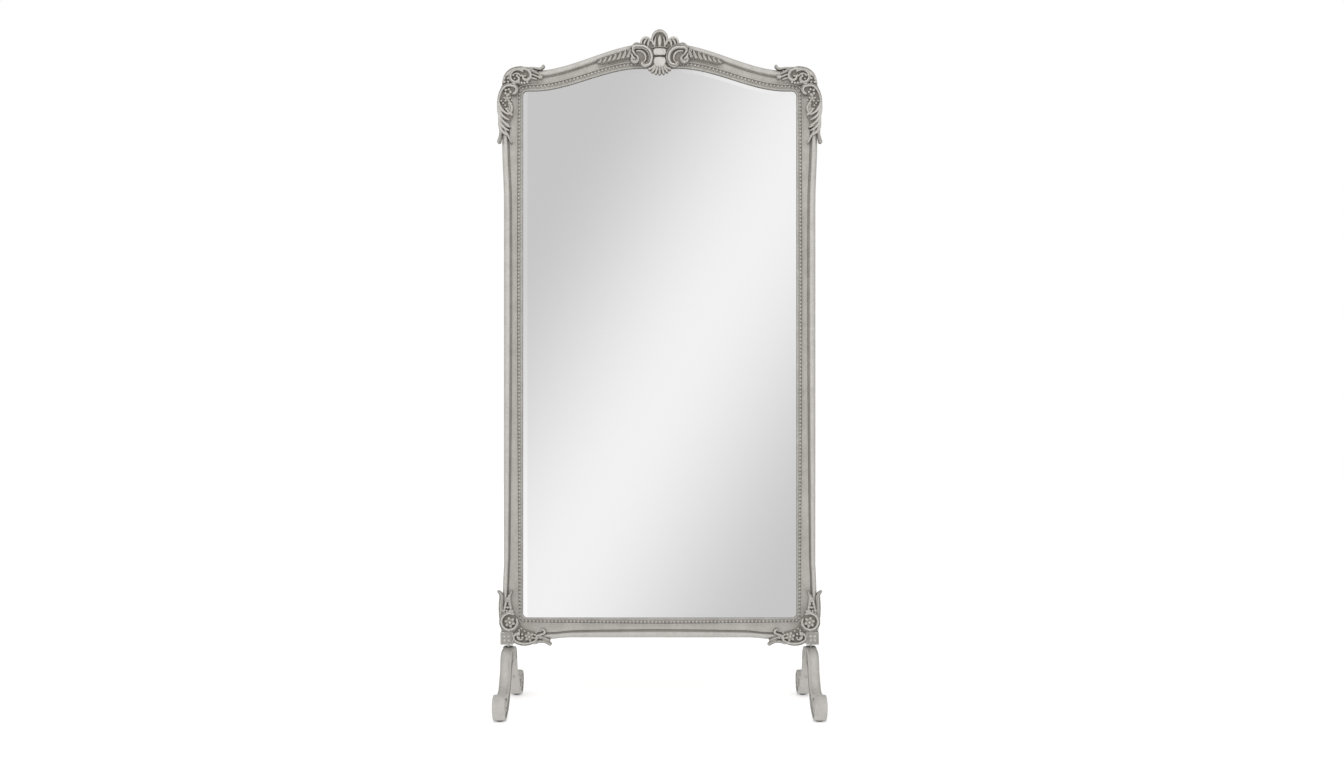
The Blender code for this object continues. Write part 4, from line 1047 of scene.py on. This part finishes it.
def cutterFrom(bm, name):
    mesh = bpy.data.meshes.new(name)
    bm.to_mesh(mesh)
    bm.free()
    cutter = bpy.data.objects.new(name, mesh)
    scene.collection.objects.link(cutter)
    cutter.hide_render = True
    return cutter


def slotCutter():
    s = saddle
    bm = bmesh.new()
    height = 0.04
    bmesh.ops.create_cube(bm, size=1.0, matrix=Matrix.Translation(
        (0, 0, s["slotFloor"] + height / 2)) @ Matrix.Diagonal(
            (s["slotWidth"], 2 * s["slotHalf"], height, 1)))
    return cutterFrom(bm, "slotCutter")


def boreCutter(radius, depth, x):
    bm = bmesh.new()
    bmesh.ops.create_cone(bm, cap_ends=True, segments=32, radius1=radius, radius2=radius,
                          depth=depth, matrix=Matrix.Translation((x, 0, saddle["boltHeight"]))
                          @ Matrix.Rotation(math.pi / 2, 4, "Y"))
    return cutterFrom(bm, "boreCutter")


def makeStands():
    shape = makeLeg()
    for side, x in (("left", -legX), ("right", legX)):
        for end, turned in (("rear", False), ("front", True)):
            finishPiece(placedCopy(shape, x, turned), end + "_leg_" + side + "_carved",
                        "stand", "stand_paint", [end + "_leg_" + side], sharp=42)
        block = makeSaddleSkin(1 if side == "right" else -1)
        bmesh.ops.translate(block, vec=(x, 0, 0), verts=block.verts)
        finishPiece(block, "saddle_" + side + "_carved", "stand", "stand_paint",
                    ["saddle_" + side], sharp=35)
    shape.free()


# ---- plinth blocks

plinth = {
    "round": 0.0016, "flower": 9.2, "flangeWidth": 0.0216, "flangeLength": 0.0266,
    "flangeDepth": 0.0033, "frame": 0.0022,
}


def makePlinths():
    p = plinth
    for side, sign in (("left", -1), ("right", 1)):
        low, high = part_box("plinth_block_" + side)
        size, middle = high - low, (high + low) / 2
        block = bmesh.new()
        bmesh.ops.create_cube(block, size=1.0)
        bmesh.ops.scale(block, vec=size, verts=block.verts)
        bmesh.ops.translate(block, vec=middle, verts=block.verts)
        bmesh.ops.bevel(block, geom=block.edges[:], offset=p["round"], segments=3, profile=0.5,
                        affect="EDGES", material=-1)
        front = min(block.faces, key=lambda face: face.calc_center_median().y)
        bmesh.ops.inset_region(block, faces=[front], thickness=p["frame"], depth=0.0)
        bmesh.ops.inset_region(block, faces=[front], thickness=0.0008, depth=-0.0011)
        pocket = bmesh.new()
        bmesh.ops.create_cube(pocket, size=1.0, matrix=Matrix.Translation(
            (sign * legX, 0, low.z)) @ Matrix.Diagonal(
                (p["flangeWidth"], p["flangeLength"], 2 * p["flangeDepth"], 1)))
        cutter = cutterFrom(pocket, "pocketCutter")
        block = settled(block, [("BOOLEAN", {"operation": "DIFFERENCE", "object": cutter})])
        bpy.data.objects.remove(cutter, do_unlink=True)
        finishPiece(block, "plinth_block_" + side + "_carved", "frame", "painted_wood",
                    ["plinth_block_" + side], sharp=35)
        rosette(middle.x, middle.z, low.y, side)


def rosette(x, z, face, side):
    # a four-petalled flower on the front of the block
    bm = bmesh.new()
    radius = plinth["flower"] * mm
    for number in range(4):
        angle = math.pi / 4 + math.pi / 2 * number
        petal = bmesh.new()
        bmesh.ops.create_uvsphere(petal, u_segments=16, v_segments=10, radius=1.0)
        bmesh.ops.scale(petal, vec=(radius * 0.60, 0.0026, radius * 0.42), verts=petal.verts)
        place = Vector((x + radius * 0.72 * math.cos(angle), face + 0.0012,
                        z + radius * 0.72 * math.sin(angle)))
        bmesh.ops.transform(petal, matrix=Matrix.Translation(place)
                            @ Matrix.Rotation(-angle, 4, "Y") @ Matrix.Rotation(-0.12, 4, "Z"),
                            verts=petal.verts)
        pour(petal, bm)
    bmesh.ops.create_uvsphere(bm, u_segments=16, v_segments=10, radius=radius * 0.28,
                              matrix=Matrix.Translation((x, face + 0.0004, z)))
    finishPiece(bm, "plinth_flower_" + side, "frame", "painted_wood", [])


makeMouldings()
print("mouldings and beads run")
makeCarvings()
print("ornaments carved")
makePlinths()
makeStands()
print("plinths and stands made")

nodeFinishes = {
    "mirror_glass": "mirror", "backing_board": "board", "board_screw": "steel",
    "tongue": "steel", "pivot": "steel", "friction": "steel", "dowel": "dowel",
    "glide": "glide", "plug": "painted_wood",
}
for name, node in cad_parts.items():
    for word, finish in nodeFinishes.items():
        if word in name:
            node.data.materials.clear()
            node.data.materials.append(finishes[finish])
print("metal, glass, board and glides finished")


# ---- floor, lights and camera

studio = {
    "world": 0.72, "floorGlow": 0.43,
    # (place, what it points at, size, power)
    "lights": {"frontLight": ((-1.2, -4.2, 3.6), (0.0, 0.0, 0.9), 3.0, 60.0),
               "topLight": ((0.6, -1.0, 5.0), (0.0, 0.0, 0.5), 5.0, 40.0)},
    "cardY": -6.0, "cardHalf": 6.5, "cardEdge": 1.10,      # cardEdge: brighter on its left
    # a bright ridge slants across the card and fades over cardReach to each side
    "cardBright": 0.885, "cardDim": 0.565, "cardReach": 1.6, "cardRidge": -0.244,
    "cardSlant": 30,
    "glassLoss": 0.944,
}
camera = {"place": (0.0, -3.05, 0.62), "lens": 31.6, "shift": (0.00915, 0.0618)}


def stagePlane(name, low, high, material):
    bm = bmesh.new()
    bmesh.ops.create_grid(bm, x_segments=1, y_segments=1, size=0.5)
    mesh = bpy.data.meshes.new(name)
    low, high = Vector(low), Vector(high)
    size, middle = high - low, (low + high) / 2
    if size.y == 0:
        bmesh.ops.rotate(bm, matrix=Matrix.Rotation(math.pi / 2, 3, "X"), verts=bm.verts)
    bmesh.ops.scale(bm, vec=[value or 1.0 for value in size], verts=bm.verts)
    bmesh.ops.translate(bm, vec=middle, verts=bm.verts)
    bm.to_mesh(mesh)
    bm.free()
    plane = bpy.data.objects.new(name, mesh)
    mesh.materials.append(material)
    scene.collection.objects.link(plane)
    return plane


def makeFloor():
    n = Nodes("studioFloor")
    colour = n.blend(n.noise(0.8, 2.0), (0.90, 0.90, 0.90), (0.93, 0.93, 0.93))
    floor = stagePlane("floor", (-40, -40, 0), (40, 40, 0),
                       n.set(Base_Color=colour, Roughness=0.9, Emission_Color=colour,
                             Emission_Strength=studio["floorGlow"]))
    floor.visible_glossy = False


def makeCard():
    # a large lit card behind the camera, seen only in the glass and the gloss
    n = Nodes("reflectorCard")
    parts = n.add("ShaderNodeSeparateXYZ", {"Vector": n.place}).outputs
    eye = camera["place"]
    spread = 1 + studio["cardY"] / eye[1]       # how much the glass widens what it shows
    seenHalf = moulding["sightHalf"] * spread
    seenLow = eye[2] + (moulding["sightLow"] - eye[2]) * spread
    seenHigh = eye[2] + (moulding["sightHigh"] + moulding["sightRise"] - eye[2]) * spread
    level = n.sum(n.sum(parts["Z"], seenLow, "MAXIMUM"), seenHigh, "MINIMUM")
    across = n.sum(n.sum(parts["X"], seenHalf, "MINIMUM"), -seenHalf, "MAXIMUM")
    slant = math.radians(studio["cardSlant"])
    diagonal = n.sum(n.sum(across, math.cos(slant), "MULTIPLY"),
                     n.sum(n.sum(level, eye[2], "SUBTRACT"), math.sin(slant), "MULTIPLY"),
                     "SUBTRACT")
    away = n.add("ShaderNodeMath", {0: n.sum(diagonal, studio["cardRidge"], "SUBTRACT")},
                 operation="ABSOLUTE").outputs[0]
    fade = n.add("ShaderNodeMapRange", {
        "Value": away, "From Min": 0.0, "From Max": studio["cardReach"],
        "To Min": studio["cardBright"] / studio["glassLoss"],
        "To Max": studio["cardDim"] / studio["glassLoss"]}, interpolation_type="SMOOTHSTEP")
    edge = n.spread(parts["X"], -seenHalf - 0.1, -seenHalf - 0.4, 1.0, studio["cardEdge"])
    glow = n.add("ShaderNodeEmission", {"Color": fade.outputs["Result"], "Strength": edge})
    output = next(node for node in n.tree.nodes if node.type == "OUTPUT_MATERIAL")
    n.feed(output.inputs["Surface"], glow.outputs[0])
    half, y = studio["cardHalf"], studio["cardY"]
    card = stagePlane("reflectorCard", (-half, y, eye[2] - half), (half, y, eye[2] + half),
                      n.material)
    card.visible_camera = False
    card.visible_diffuse = False
    card.visible_shadow = False


def makeLight(name, place, target, size, power):
    data = bpy.data.lights.new(name, "AREA")
    data.shape = "DISK"
    data.size = size
    data.energy = power
    lamp = bpy.data.objects.new(name, data)
    lamp.location = place
    lamp.rotation_euler = (Vector(target) - Vector(place)).to_track_quat("-Z", "Y").to_euler()
    lamp.visible_glossy = False
    scene.collection.objects.link(lamp)


def makeWorld():
    world = bpy.data.worlds.new("studio")
    world.use_nodes = True
    tree = world.node_tree
    light = tree.nodes["Background"]
    light.inputs["Color"].default_value = (1.0, 1.0, 1.0, 1.0)
    light.inputs["Strength"].default_value = studio["world"]
    backdrop = tree.nodes.new("ShaderNodeBackground")
    backdrop.inputs["Color"].default_value = (1.0, 1.0, 1.0, 1.0)
    rays = tree.nodes.new("ShaderNodeLightPath")
    mix = tree.nodes.new("ShaderNodeMixShader")
    tree.links.new(rays.outputs["Is Camera Ray"], mix.inputs[0])
    tree.links.new(light.outputs[0], mix.inputs[1])
    tree.links.new(backdrop.outputs[0], mix.inputs[2])
    tree.links.new(mix.outputs[0], tree.nodes["World Output"].inputs["Surface"])
    scene.world = world


def makeCamera():
    data = bpy.data.cameras.new("camera")
    data.sensor_width = 36.0
    data.lens = camera["lens"]
    data.shift_x, data.shift_y = camera["shift"]
    eye = bpy.data.objects.new("camera", data)
    eye.location = camera["place"]
    eye.rotation_euler = (math.pi / 2, 0.0, 0.0)
    scene.collection.objects.link(eye)
    scene.camera = eye


makeFloor()
makeCard()
makeWorld()
for name, light in studio["lights"].items():
    makeLight(name, *light)
makeCamera()
scene.view_settings.view_transform = "Standard"
print("studio set")
